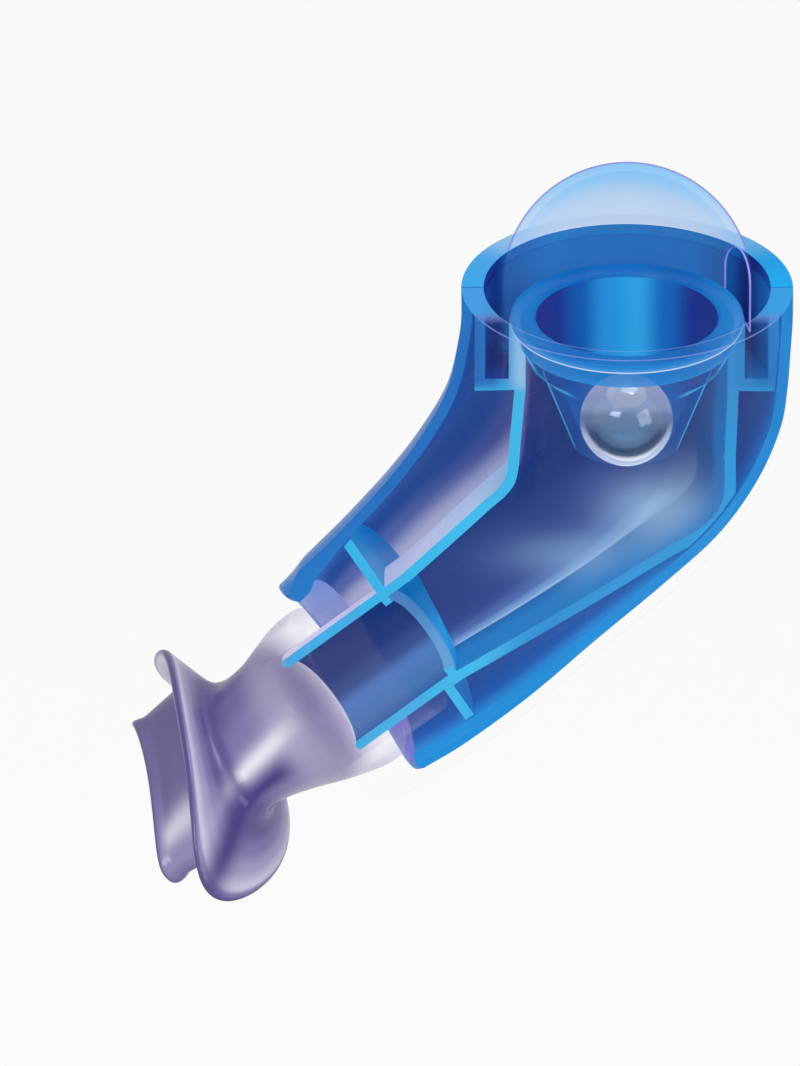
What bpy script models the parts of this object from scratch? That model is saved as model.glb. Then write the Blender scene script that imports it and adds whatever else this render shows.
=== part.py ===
"""Hand-held oscillating positive expiratory pressure device.

A bent double-walled body carries a ball that dances in a conical seat under a clear vented dome.
Metres, +Z up along the head axis, the origin is the centre of the rim.  The median plane is XZ, and
shell and airway are each a rear (+Y) and a front (-Y) half that meet on it.
"""
import math

import bpy
import numpy as np

MM = 0.001
GAP = 0.3                    # clearance between pieces that touch
CUT_PAST = 4.0               # how far a cut runs past the face that it opens
CUT_REACH = 24.0             # how far the shell's space runs out of its open end
BORE_RUN = 4.6               # how far the inlet's bore runs on into the duct
WEB_REACH = 60.0             # size of the web's plate before it is trimmed
BLOCK_REACH = 240.0          # size of the blocks that keep one half

# Outer shell: paired points (x, z) of its upper-left and lower-right outline, mm
SHELL_LEFT = [(-28.5, 0.0), (-28.5, -6.2), (-29.0, -10.8), (-30.5, -18.4), (-33.1, -24.8),
              (-37.7, -32.5), (-42.2, -38.7), (-46.9, -44.4), (-51.0, -49.1), (-54.6, -52.9),
              (-56.8, -55.4), (-57.8, -58.0)]
SHELL_RIGHT = [(28.5, 0.0), (28.5, -6.2), (28.2, -12.0), (27.7, -19.7), (26.5, -27.5),
               (22.6, -37.5), (16.0, -47.8), (6.4, -57.6), (-5.0, -68.3), (-16.5, -79.3),
               (-27.5, -88.4), (-34.6, -93.2)]
SHELL_DEPTH = [28.5, 28.5, 28.4, 28.1, 27.6, 27.0, 26.3, 25.4, 24.4, 23.3, 22.4, 21.8]
SHELL_WALL = 1.9
LIP_RADIUS = 24.6            # inner radius of the flat rim
LIP_HEIGHT = 2.0
END_ROUND = 0.7              # rounding of the open lower end

# Airway: paired points of the inner faces of the bent duct, mm
DUCT_LEFT = [(-17.4, -20.0), (-18.1, -28.5), (-18.8, -36.4), (-20.4, -39.8), (-23.6, -43.0),
             (-28.3, -47.8), (-32.9, -52.4), (-37.4, -56.9)]
DUCT_RIGHT = [(17.4, -20.0), (17.0, -32.0), (16.7, -41.2), (13.2, -46.2), (6.0, -51.0),
              (-6.0, -59.2), (-17.6, -66.8), (-29.2, -74.3)]
DUCT_DEPTH = [17.4, 17.2, 16.2, 14.6, 12.8, 11.0, 9.6, 9.0]
DUCT_SQUARE = [2.0, 2.0, 2.5, 3.2, 4.0, 4.8, 5.4, 6.0]
DUCT_WALL = 1.9

# Cap groove and spigot, turned about the head axis, mm
GROOVE_OUTER = 24.4
GROOVE_WALL = 1.75
GROOVE_FLOOR = -17.7
GROOVE_UNDERSIDE = -20.0
SPIGOT_WALL = 1.6
SPIGOT_TOP = -7.0
SEAT_TOP = -10.0
SEAT_BOTTOM = -12.8

# Inlet tube, turned about its own axis, mm
INLET_TIP = (-52.95, -81.3)
INLET_ANGLE = math.radians(39.0)
INLET_OUTER = 11.0
INLET_BORE = 9.25
INLET_LENGTH = 22.0
RIDGE_BORE = 7.95
RIDGE_LENGTH = 2.0
WEB_FOOT = (-24.6, -87.0)    # web mid-plane where it meets the shell
WEB_HEAD = (-48.6, -48.6)
WEB_THICKNESS = 1.8

# Cap, mm
CAP_RADIUS = 21.5
CAP_WALL = 1.5
SKIRT_WALL = 0.9
SKIRT_TOP = -2.2
VENT_WIDTH = 11.0
VENT_BOTTOM = -9.9
VENT_TOP = 3.3
VENT_ANGLES = (22.0, 202.0)
EDGE_ROUND = 0.3

# The spigot stands inside the cap's skirt with a clearance
SPIGOT_OUTER = CAP_RADIUS - SKIRT_WALL - GAP
SPIGOT_INNER = SPIGOT_OUTER - SPIGOT_WALL

# Ball and its seat, mm
BALL_RADIUS = 8.0
CONE_WALL = 1.6
CONE_BOTTOM = -29.7
CONE_MOUTH = -9.0            # height where the conical bowl ends
CONE_FLANGE_THICKNESS = 1.5
CONE_FOOT_GAP = 0.25         # clearance of the collar's foot in the duct
CONE_STEP_BOTTOM = -13.2
CONE_NECK = -15.6            # height where the bowl leaves the collar
CONE_MOUTH_WALL = 2.2
HOLE_LIP = 0.12              # how far the foot's lip stands in under the ball
HOLE_LIP_HEIGHT = 0.5
CONE_FLANGE = SPIGOT_OUTER - GAP
CONE_COLLAR = SPIGOT_INNER - GAP

# Mouthpiece, once round its wall from the socket's end over the lip shield to the bite tip and back
# inside: (place along the inlet axis from the tube's tip, half height, half width, lift, slide), mm
MOUTH_ROWS = [(18.0, 12.9, 12.9, 0.0, 0.0), (8.6, 12.9, 12.9, 0.0, 0.0),
              (7.9, 13.5, 13.5, 0.2, 0.0), (7.5, 14.8, 14.8, 0.5, 0.0),
              (6.9, 15.6, 15.6, 0.7, 0.0), (4.5, 15.7, 15.6, 0.8, 0.0),
              (1.0, 15.1, 14.9, 1.0, 0.0), (-3.0, 13.7, 14.3, 1.1, 0.0),
              (-7.0, 12.0, 14.6, 1.4, -0.1), (-11.0, 10.5, 15.6, 1.8, -0.5),
              (-14.0, 9.4, 16.9, 2.0, -1.0), (-15.8, 9.3, 18.3, 2.1, -1.2),
              (-16.5, 10.0, 21.5, 2.1, -1.3), (-16.8, 12.6, 28.4, 2.1, -1.3),
              (-17.1, 14.7, 33.2, 2.1, -1.3), (-17.9, 15.2, 34.3, 2.1, -1.3),
              (-18.7, 14.7, 33.2, 2.1, -1.3), (-19.0, 13.0, 30.0, 2.1, -1.4),
              (-19.2, 10.8, 27.0, 2.3, -1.5), (-19.9, 8.9, 24.9, 2.5, -1.5),
              (-22.0, 7.9, 23.9, 2.6, -1.5), (-26.5, 6.4, 23.3, 2.8, -1.5),
              (-29.0, 5.4, 23.1, 2.9, -1.5), (-30.1, 5.7, 23.4, 2.9, -1.5),
              (-31.0, 5.9, 23.6, 2.9, -1.5), (-31.6, 5.6, 23.3, 2.9, -1.5),
              (-31.8, 4.9, 22.7, 2.9, -1.5), (-31.6, 4.1, 21.9, 2.9, -1.5),
              (-30.6, 3.7, 21.4, 2.9, -1.5), (-28.0, 4.0, 21.3, 2.9, -1.5),
              (-22.0, 6.0, 21.6, 2.6, -1.5), (-18.0, 6.9, 17.4, 2.3, -1.3),
              (-14.0, 7.6, 15.0, 2.0, -1.0), (-11.0, 8.7, 13.8, 1.7, -0.5),
              (-7.0, 10.0, 12.6, 1.2, -0.1), (-3.0, 11.0, 11.9, 0.5, 0.0),
              (-0.5, 11.3, 11.3, 0.0, 0.0), (18.0, 11.3, 11.3, 0.0, 0.0)]
# Share of the shield's sweep and squareness of the same rings
MOUTH_FORM = [(0.0, 2.0)] * 8 + [(0.0, 1.9), (0.05, 1.8), (0.15, 1.8), (0.5, 1.9), (0.85, 2.0)]
MOUTH_FORM += [(1.0, 2.0)] * 7 + [(1.0, 2.1), (1.0, 2.3)] + [(1.0, 2.5)] * 8
MOUTH_FORM += [(1.0, 2.2), (0.6, 2.0), (0.15, 1.9), (0.05, 1.9)] + [(0.0, 2.0)] * 4
MOUTH_TURN = math.radians(9.0)
SWEEP_SPAN = 33.0            # half width at which the two sweeps below are reached
SWEEP_ROUND = 4.4            # forward sweep that grows with the square of the width
SWEEP_HOOK = 4.4             # forward sweep that grows with its fourth power

RING_POINTS = 40
MOUTH_POINTS = 48
TURN_STEPS = 48

AXIS_S = np.array([math.cos(INLET_ANGLE), 0.0, math.sin(INLET_ANGLE)])
AXIS_P = np.array([-math.sin(INLET_ANGLE), 0.0, math.cos(INLET_ANGLE)])
AXIS_Y = np.array([0.0, 1.0, 0.0])
TIP = np.array([INLET_TIP[0], 0.0, INLET_TIP[1]])


def clear_scene():
    """Remove every object, so that the file starts empty."""
    for item in list(bpy.data.objects):
        bpy.data.objects.remove(item, do_unlink=True)


def make_collection(name):
    """Return a new collection linked to the scene."""
    group = bpy.data.collections.new(name)
    bpy.context.scene.collection.children.link(group)
    return group


def plain_material(name, colour, roughness, alpha=1.0, metallic=0.0):
    """Return a Principled material."""
    material = bpy.data.materials.new(name)
    material.use_nodes = True
    shader = material.node_tree.nodes["Principled BSDF"]
    shader.inputs["Base Color"].default_value = (*colour, 1.0)
    shader.inputs["Roughness"].default_value = roughness
    shader.inputs["Metallic"].default_value = metallic
    shader.inputs["Alpha"].default_value = alpha
    return material


def add_object(name, points, faces, group):
    """Return an object made of points in millimetres and faces."""
    mesh = bpy.data.meshes.new(name)
    mesh.from_pydata([tuple(point * MM) for point in np.asarray(points, float)], [], faces)
    mesh.update()
    item = bpy.data.objects.new(name, mesh)
    group.objects.link(item)
    return item


def shade(item, angle=35.0):
    """Shade an object smooth and keep its edges sharper than an angle."""
    item.data.shade_smooth()
    item.data.set_sharp_from_angle(angle=math.radians(angle))


def as_cutter(item):
    """Hide an object that only shapes others."""
    item.hide_render = True
    item.display_type = "WIRE"
    return item


def smooth_path(points, steps):
    """Return a Catmull-Rom path through points, with steps between each two."""
    points = np.asarray(points, float)
    padded = np.vstack([2 * points[0] - points[1], points, 2 * points[-1] - points[-2]])
    path = []
    for index in range(1, len(points)):
        before, start, end, after = padded[index - 1:index + 3]
        for t in np.arange(steps) / steps:
            path.append(0.5 * (2 * start + (end - before) * t
                               + (2 * before - 5 * start + 4 * end - after) * t ** 2
                               + (3 * start - before - 3 * end + after) * t ** 3))
    path.append(points[-1])
    return np.array(path)


def plain_path(values, steps):
    """Return values with straight steps between each two."""
    spots = np.arange((len(values) - 1) * steps + 1) / steps
    return np.interp(spots, np.arange(len(values)), values)


def tube_sections(left, right, depth, square, inset, steps):
    """Return ring sections between two outlines, moved inward by an inset.

    Each section is (left point, right point, half depth, squareness).
    """
    left = smooth_path(left, steps)
    right = smooth_path(right, steps)
    depth = plain_path(depth, steps) - inset
    square = plain_path(square, steps)
    left_run = np.gradient(left, axis=0)
    right_run = np.gradient(right, axis=0)
    left_in = np.column_stack([-left_run[:, 1], left_run[:, 0]])
    right_in = np.column_stack([right_run[:, 1], -right_run[:, 0]])
    left_in /= np.linalg.norm(left_in, axis=1)[:, None]
    right_in /= np.linalg.norm(right_in, axis=1)[:, None]
    return list(zip(left + inset * left_in, right + inset * right_in, depth, square))


def level_section(radius, z):
    """Return a round section across the head axis."""
    return (np.array([-radius, z]), np.array([radius, z]), radius, 2.0)


def moved_section(section, shift, inset=0.0):
    """Return a section shifted in its plane and drawn in by an inset."""
    left, right, depth, square = section
    across = (right - left) / np.linalg.norm(right - left)
    shift = np.asarray(shift, float)
    return (left + shift + across * inset, right + shift - across * inset, depth - inset, square)


def section_ring(section):
    """Return the points of a rounded section, counted from left over the front."""
    left, right, depth, square = section
    turn = 2.0 * math.pi * (np.arange(RING_POINTS) + 0.5) / RING_POINTS
    power = 2.0 / square
    along = -np.sign(np.cos(turn)) * np.abs(np.cos(turn)) ** power
    out = -np.sign(np.sin(turn)) * np.abs(np.sin(turn)) ** power
    middle = (left + right) / 2
    half = (right - left) / 2
    return np.column_stack([middle[0] + half[0] * along, depth * out, middle[1] + half[1] * along])


def loft(name, rings, group):
    """Return a closed solid through rings of equal point count."""
    count = len(rings[0])
    faces = []
    for level in range(len(rings) - 1):
        base = level * count
        for spot in range(count):
            following = (spot + 1) % count
            faces.append((base + spot, base + count + spot, base + count + following,
                          base + following))
    faces.append(tuple(range(count)))
    faces.append(tuple(reversed(range((len(rings) - 1) * count, len(rings) * count))))
    item = add_object(name, np.vstack(rings), faces, group)
    face_outward(item)
    return item


def ring_loop(name, rings, group):
    """Return a closed solid whose rings run once round its wall, the last joined to the first."""
    count = len(rings[0])
    total = len(rings)
    faces = []
    for level in range(total):
        base = level * count
        above = (level + 1) % total * count
        for spot in range(count):
            following = (spot + 1) % count
            faces.append((base + spot, above + spot, above + following, base + following))
    item = add_object(name, np.vstack(rings), faces, group)
    face_outward(item)
    return item


def face_outward(item):
    """Turn the faces of a closed solid outward when its signed volume is negative."""
    mesh = item.data
    mesh.calc_loop_triangles()
    volume = 0.0
    for triangle in mesh.loop_triangles:
        a, b, c = (mesh.vertices[i].co for i in triangle.vertices)
        volume += a.dot(b.cross(c))
    if volume < 0.0:
        mesh.flip_normals()


def turned(name, profile, group, closed=True, steps=TURN_STEPS):
    """Return a solid turned about Z from a profile (radius, z) in millimetres."""
    mesh = bpy.data.meshes.new(name)
    count = len(profile)
    edges = [(i, i + 1) for i in range(count - 1)]
    if closed:
        edges.append((count - 1, 0))
    mesh.from_pydata([(radius * MM, 0.0, z * MM) for radius, z in profile], edges, [])
    item = bpy.data.objects.new(name, mesh)
    group.objects.link(item)
    screw = item.modifiers.new("turn", "SCREW")
    screw.steps = steps
    screw.render_steps = steps
    screw.use_merge_vertices = True
    screw.merge_threshold = 0.00001
    screw.use_smooth_shade = True
    return item


def along_inlet(item):
    """Stand a solid that was turned about Z on the inlet axis, its zero at the tube tip."""
    item.location = tuple(TIP * MM)
    item.rotation_euler = (0.0, math.pi / 2 - INLET_ANGLE, 0.0)
    return item


def box(name, size, centre, group, angle=0.0):
    """Return a box of a size about a centre, leaned about Y."""
    half = np.array(size) / 2
    corners = [(x * half[0], y * half[1], z * half[2])
               for x in (-1, 1) for y in (-1, 1) for z in (-1, 1)]
    faces = [(0, 1, 3, 2), (4, 6, 7, 5), (0, 4, 5, 1), (2, 3, 7, 6), (0, 2, 6, 4), (1, 5, 7, 3)]
    item = add_object(name, corners, faces, group)
    item.location = tuple(np.array(centre, float) * MM)
    item.rotation_euler = (0.0, angle, 0.0)
    return item


def combine(item, cutter, operation):
    """Add a Boolean to an object."""
    step = item.modifiers.new(cutter.name, "BOOLEAN")
    step.operation = operation
    step.solver = "EXACT"
    step.object = cutter


def half_space(name, side, group):
    """Return the block that keeps one half of the body."""
    size = (BLOCK_REACH, BLOCK_REACH, BLOCK_REACH)
    return as_cutter(box(name, size, (0.0, side * (BLOCK_REACH + GAP) / 2, 0.0), group))


def shell_sections(inset):
    """Return the shell's sections, moved inward by an inset."""
    return tube_sections(SHELL_LEFT, SHELL_RIGHT, SHELL_DEPTH, [2.0] * len(SHELL_DEPTH), inset, 2)


def past_end(sections, distance, inset=0.0):
    """Return the last section carried on along the inlet, away from the body."""
    shift = -np.array([AXIS_S[0], AXIS_S[2]]) * distance
    return moved_section(sections[-1], shift, inset)


def shell_space(name, inset, top, group, neck=0.0):
    """Return the space inside the shell, open at its lower end and, by a neck, through the rim."""
    width = SHELL_RIGHT[0][0] - inset
    rings = [level_section(width, top)]
    if neck > 0.0:
        rings = [level_section(neck, CUT_PAST), level_section(neck, top)] + rings
    sections = shell_sections(inset)
    rings += [section for section in sections if section[0][1] < top - inset / 2]
    rings.append(past_end(sections, CUT_REACH))
    return as_cutter(loft(name, [section_ring(section) for section in rings], group))


def build_shell(side, name, material, group, cutters):
    """Build one half of the outer shell."""
    sections = shell_sections(0.0)
    end = sections[-1:]
    sections.append(past_end(end, END_ROUND * 0.7, END_ROUND * 0.3))
    sections.append(past_end(end, END_ROUND * 1.7, END_ROUND))
    item = loft(name, [section_ring(section) for section in sections], group)
    combine(item, cutters["cavity"], "DIFFERENCE")
    combine(item, cutters["half"][side], "INTERSECT")
    item.data.materials.append(material)
    shade(item)
    return item


def duct_solid(name, inset, group):
    """Return the bent duct as a solid, moved inward by an inset."""
    sections = tube_sections(DUCT_LEFT, DUCT_RIGHT, DUCT_DEPTH, DUCT_SQUARE, inset, 2)
    if inset < 0.0:
        top = (GROOVE_FLOOR + GROOVE_UNDERSIDE) / 2
        rings = [level_section(DUCT_DEPTH[0] - inset, top)] + sections
        rings.append(past_end(sections, CUT_PAST))
    else:
        rings = [level_section(SPIGOT_INNER, CUT_PAST), level_section(SPIGOT_INNER, SEAT_TOP),
                 level_section(DUCT_DEPTH[0], SEAT_BOTTOM)] + sections
    return loft(name, [section_ring(section) for section in rings], group)


def inlet_bore(group):
    """Return the stepped bore of the inlet tube with its ridge."""
    start = INLET_LENGTH - RIDGE_LENGTH / 2
    stop = INLET_LENGTH + RIDGE_LENGTH / 2
    bevel = 2.0 * EDGE_ROUND
    profile = [(0.0, stop + BORE_RUN), (INLET_BORE, stop + BORE_RUN), (INLET_BORE, stop),
               (RIDGE_BORE, stop), (RIDGE_BORE, start), (INLET_BORE, start), (INLET_BORE, bevel),
               (INLET_BORE + bevel * 1.5, -bevel / 2), (INLET_BORE + bevel * 1.5, -CUT_PAST),
               (0.0, -CUT_PAST)]
    return as_cutter(along_inlet(turned("bore", profile, group, closed=False)))


def head_ring(group):
    """Return the cap groove and spigot as one turned solid without its bore."""
    outer = GROOVE_OUTER + GROOVE_WALL
    profile = [(0.0, SPIGOT_TOP), (SPIGOT_OUTER, SPIGOT_TOP), (SPIGOT_OUTER, GROOVE_FLOOR),
               (GROOVE_OUTER, GROOVE_FLOOR), (GROOVE_OUTER, -LIP_HEIGHT - GAP),
               (outer, -LIP_HEIGHT - GAP), (outer, GROOVE_UNDERSIDE), (0.0, GROOVE_UNDERSIDE)]
    return as_cutter(turned("head_ring", profile, group, closed=False))


def web_plate(group):
    """Return the web between the inlet tube and the shell, still oversize."""
    foot = np.array(WEB_FOOT)
    head = np.array(WEB_HEAD)
    centre = (foot + head) / 2
    lean = math.atan2(head[0] - foot[0], head[1] - foot[1])
    size = (WEB_THICKNESS, WEB_REACH, WEB_REACH)
    return as_cutter(box("web", size, (centre[0], 0.0, centre[1]), group, lean))


def build_airway(side, name, material, group, cutters):
    """Build one half of the airway: inlet tube, web, duct, spigot and cap groove."""
    item = duct_solid(name, -DUCT_WALL, group)
    for part in ("tube", "web", "head_ring"):
        combine(item, cutters[part], "UNION")
    combine(item, cutters["room"], "INTERSECT")
    combine(item, cutters["duct"], "DIFFERENCE")
    combine(item, cutters["bore"], "DIFFERENCE")
    combine(item, cutters["half"][side], "INTERSECT")
    item.data.materials.append(material)
    shade(item)
    return item


def bowl_angle():
    """Return the bowl's half angle: its side touches the ball at the foot and ends at the mouth.

    The side runs from the ball's touching circle, ball radius times the angle's cosine, to the
    mouth's radius, and the angle is found by a few repeats.
    """
    mouth = CONE_COLLAR - CONE_MOUTH_WALL - CONE_FLANGE_THICKNESS * 2 / 3
    rise = CONE_MOUTH - CONE_BOTTOM - HOLE_LIP_HEIGHT
    angle = math.atan2(mouth - BALL_RADIUS, rise)
    for _ in range(12):
        angle = math.atan2(mouth - BALL_RADIUS * math.cos(angle), rise)
    return angle


def build_cone(material, group):
    """Build the drop-in seat: flange, stepped collar and conical bowl with its hole."""
    angle = bowl_angle()
    slope = math.tan(angle)
    under = SPIGOT_TOP + GAP
    top = under + CONE_FLANGE_THICKNESS
    lip_top = CONE_BOTTOM + HOLE_LIP_HEIGHT
    inner_foot = BALL_RADIUS * math.cos(angle)
    outer_foot = inner_foot + CONE_WALL / math.cos(angle)
    hole = inner_foot - HOLE_LIP
    step = DUCT_DEPTH[0] - CONE_FOOT_GAP
    mouth = CONE_COLLAR - CONE_MOUTH_WALL
    profile = [(CONE_FLANGE - EDGE_ROUND, top), (CONE_FLANGE, top - EDGE_ROUND),
               (CONE_FLANGE, under), (CONE_COLLAR, under), (CONE_COLLAR, SEAT_TOP - GAP / 3),
               (step, SEAT_BOTTOM + GAP / 3), (step, CONE_STEP_BOTTOM),
               (outer_foot + slope * (CONE_NECK - CONE_BOTTOM), CONE_NECK),
               (outer_foot, CONE_BOTTOM), (hole, CONE_BOTTOM), (hole, lip_top),
               (inner_foot, lip_top), (inner_foot + slope * (CONE_MOUTH - lip_top), CONE_MOUTH),
               (mouth - EDGE_ROUND * 1.7, top - EDGE_ROUND * 2), (mouth, top)]
    item = turned("ball_cone", profile, group)
    item.data.materials.append(material)
    return item


def seated_height():
    """Return the height of the ball's centre with the clearance all round its seat."""
    angle = bowl_angle()
    reach = (BALL_RADIUS + GAP) / math.cos(angle)
    touch = BALL_RADIUS * math.cos(angle)
    return CONE_BOTTOM + HOLE_LIP_HEIGHT + (reach - touch) / math.tan(angle)


def build_ball(material, group):
    """Build the loose ball, seated in the cone, its origin at its centre."""
    rows = 18
    steps = np.pi * np.arange(rows + 1) / rows
    profile = [(BALL_RADIUS * math.sin(a), BALL_RADIUS * math.cos(a)) for a in steps]
    profile[0] = (0.0, BALL_RADIUS)
    profile[-1] = (0.0, -BALL_RADIUS)
    item = turned("steel_ball", profile, group, closed=False, steps=36)
    item.location = (0.0, 0.0, seated_height() * MM)
    item.data.materials.append(material)
    return item


def build_cap(material, group, cutters):
    """Build the clear dome with its skirt and two round-topped vents."""
    foot = GROOVE_FLOOR + GAP
    inner = CAP_RADIUS - CAP_WALL
    rows = 11
    quarter = 0.5 * np.pi * np.arange(rows + 1) / rows
    profile = [(CAP_RADIUS * math.sin(a), CAP_RADIUS * math.cos(a)) for a in quarter]
    profile[0] = (0.0, CAP_RADIUS)
    skirt_inner = CAP_RADIUS - SKIRT_WALL
    profile += [(CAP_RADIUS, foot + EDGE_ROUND), (CAP_RADIUS - EDGE_ROUND, foot),
                (skirt_inner, foot), (skirt_inner, SKIRT_TOP)]
    profile += [(inner * math.cos(a), inner * math.sin(a)) for a in quarter[:-1]]
    profile.append((0.0, inner))
    item = turned("cap", profile, group, closed=False, steps=56)
    for number, degrees in enumerate(VENT_ANGLES):
        combine(item, vent_cutter(number, degrees, cutters["group"]), "DIFFERENCE")
    item.data.materials.append(material)
    return item


def vent_cutter(number, degrees, group):
    """Return the cutter of one vent: straight sides with a round top, pushed outward."""
    radius = VENT_WIDTH / 2
    turn = math.radians(degrees)
    out = np.array([math.cos(turn), math.sin(turn), 0.0])
    side = np.array([-math.sin(turn), math.cos(turn), 0.0])
    arc = np.pi * np.arange(13) / 12
    across = np.concatenate([[radius], radius * np.cos(arc), [-radius]])
    up = np.concatenate([[VENT_BOTTOM], VENT_TOP - radius + radius * np.sin(arc), [VENT_BOTTOM]])
    rings = []
    for reach in (CAP_RADIUS / 2, CAP_RADIUS + CUT_PAST):
        rings.append(np.array([out * reach + side * a + np.array([0, 0, z])
                               for a, z in zip(across, up)]))
    return as_cutter(loft("vent_%d" % (number + 1), rings, group))


def mouth_ring(row, form):
    """Return one ring of the mouthpiece in world millimetres.

    The ring is a rounded section across the inlet axis, raised by its lift, slid along its width,
    and swept forward by its share of the shield's sweep.
    """
    s, height, width, lift, slide = row
    share, square = form
    turn = 2.0 * math.pi * (np.arange(MOUTH_POINTS) + 0.5) / MOUTH_POINTS
    power = 2.0 / square
    up = np.sign(np.cos(turn)) * np.abs(np.cos(turn)) ** power * height + lift
    side = np.sign(np.sin(turn)) * np.abs(np.sin(turn)) ** power * width + slide
    reach = side / SWEEP_SPAN
    along = s - share * (SWEEP_ROUND * reach ** 2 + SWEEP_HOOK * reach ** 4)
    rise = math.cos(MOUTH_TURN) * AXIS_P - math.sin(MOUTH_TURN) * AXIS_Y
    near = -math.cos(MOUTH_TURN) * AXIS_Y - math.sin(MOUTH_TURN) * AXIS_P
    return TIP + np.outer(along, AXIS_S) + np.outer(up, rise) + np.outer(side, near)


def build_mouthpiece(material, group):
    """Build the mouthpiece: socket, flattening barrel, swept lip shield and rolled bite tip."""
    rings = [mouth_ring(row, form) for row, form in zip(MOUTH_ROWS, MOUTH_FORM)]
    item = ring_loop("mouthpiece", rings, group)
    item.data.materials.append(material)
    shade(item, 50.0)
    return item


def inlet_tube(group):
    """Return the outside of the inlet tube."""
    end = INLET_LENGTH + CUT_PAST
    bevel = 2.0 * EDGE_ROUND
    profile = [(0.0, end), (INLET_OUTER, end), (INLET_OUTER, bevel), (INLET_OUTER - bevel, 0.0),
               (0.0, 0.0)]
    return as_cutter(along_inlet(turned("tube", profile, group, closed=False)))


def main():
    """Build every piece."""
    clear_scene()
    device = make_collection("oscillating_pressure_device")
    helpers = make_collection("cutters")
    cutters = {
        "group": helpers,
        "half": {1: half_space("keep_rear", 1, helpers), -1: half_space("keep_front", -1, helpers)},
        "cavity": shell_space("cavity", SHELL_WALL, -LIP_HEIGHT, helpers, LIP_RADIUS),
        "room": shell_space("room", SHELL_WALL + GAP, -LIP_HEIGHT - GAP, helpers),
        "duct": as_cutter(duct_solid("duct", 0.0, helpers)),
        "tube": inlet_tube(helpers),
        "bore": inlet_bore(helpers),
        "web": web_plate(helpers),
        "head_ring": head_ring(helpers),
    }
    for side, word, alpha in ((1, "rear", 1.0), (-1, "front", 0.3)):
        shell = plain_material("shell_blue_" + word, (0.02, 0.24, 0.62), 0.25, alpha)
        airway = plain_material("airway_cyan_" + word, (0.03, 0.42, 0.78), 0.25, alpha)
        build_shell(side, "shell_" + word, shell, device, cutters)
        build_airway(side, "airway_" + word, airway, device, cutters)
    build_cone(plain_material("cone_blue", (0.02, 0.30, 0.68), 0.2, 0.85), device)
    build_ball(plain_material("steel", (0.8, 0.8, 0.8), 0.08, 1.0, 1.0), device)
    build_cap(plain_material("clear_dome", (0.45, 0.68, 0.92), 0.05, 0.35), device, cutters)
    build_mouthpiece(plain_material("lavender", (0.36, 0.31, 0.55), 0.2, 0.75), device)


main()
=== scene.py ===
"""Looks of a hand-held oscillating positive expiratory pressure device.

The device is shown as a cut-away: the rear halves of its shell and airway are solid, and the near
halves are so clear that the ball, its seat and the bent airway show.  Every surface is worked out
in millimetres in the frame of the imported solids: +Z up the head axis, XZ the median plane, and +Y
the rear half.
"""
import logging
import math
from dataclasses import dataclass, field
from enum import Enum

import bmesh
import bpy
import numpy as np
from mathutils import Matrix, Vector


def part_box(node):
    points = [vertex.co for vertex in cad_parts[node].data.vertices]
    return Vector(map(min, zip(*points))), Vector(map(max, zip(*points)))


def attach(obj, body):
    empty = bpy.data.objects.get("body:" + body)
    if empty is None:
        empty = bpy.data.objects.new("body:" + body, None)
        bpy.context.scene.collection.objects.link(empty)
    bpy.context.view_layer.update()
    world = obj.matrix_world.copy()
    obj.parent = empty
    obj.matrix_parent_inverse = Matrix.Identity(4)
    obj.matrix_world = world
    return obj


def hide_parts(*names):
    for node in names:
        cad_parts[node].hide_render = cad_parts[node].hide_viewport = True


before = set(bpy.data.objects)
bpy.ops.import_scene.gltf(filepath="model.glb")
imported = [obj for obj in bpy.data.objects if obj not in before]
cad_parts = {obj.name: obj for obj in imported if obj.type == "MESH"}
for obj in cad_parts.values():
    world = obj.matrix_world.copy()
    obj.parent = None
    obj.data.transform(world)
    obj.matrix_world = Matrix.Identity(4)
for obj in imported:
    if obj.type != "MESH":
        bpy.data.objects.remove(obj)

LOG = logging.getLogger("device_looks")
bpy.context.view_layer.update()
MM = 0.001
GRID_UNIT = 100.0  # millimetres along a surface to one unit of its texture grid
SAME_POINT = 1e-7  # points of a seam closer than this are one, in metres
EDGE_STEPS = 2  # faces across a rounded edge
EDGE_ANGLE = math.radians(38.0)  # edges sharper than this are rounded
VIEW_RISE = math.radians(27.0)  # how steeply the camera looks down
Colour = tuple[float, float, float]
Direction = tuple[float, float, float]
Stops = tuple[tuple[float, Colour], ...]
Socket = bpy.types.NodeSocket
RIGHT: Direction = (1.0, 0.0, 0.0)
BACK: Direction = (0.0, 1.0, 0.0)
UP: Direction = (0.0, 0.0, 1.0)
WHITE = (1.0, 1.0, 1.0, 1.0)


def srgb(red: int, green: int, blue: int) -> Colour:
    """Return the linear colour of an 8-bit screen colour.

    Args:
        red: Red, 0 to 255.
        green: Green, 0 to 255.
        blue: Blue, 0 to 255.

    Returns:
        The colour as linear shares of one.
    """
    shares = np.array([red, green, blue]) / 255.0
    linear = np.where(shares <= 0.04045, shares / 12.92, ((shares + 0.055) / 1.055) ** 2.4)
    return tuple(float(share) for share in linear)


def stops(*rows: tuple[float, int, int, int]) -> Stops:
    """Return the stops of a ramp from rows of a place and an 8-bit screen colour."""
    return tuple((place, srgb(*colour)) for place, *colour in rows)


class Side(Enum):
    """Which half of the split body a piece is, as the sign of its Y."""

    REAR = 1
    FRONT = -1


class Zone(Enum):
    """The part of a surface that a finish belongs to."""

    OUTSIDE = "outside"
    INSIDE = "inside"
    CUT = "cut"
    RIM = "rim"
    FLOW = "flow"
    FUNNEL = "funnel"
    RIDGE = "ridge"
    WEB = "web"
    LIP = "lip"


# Outlines and sections


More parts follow.
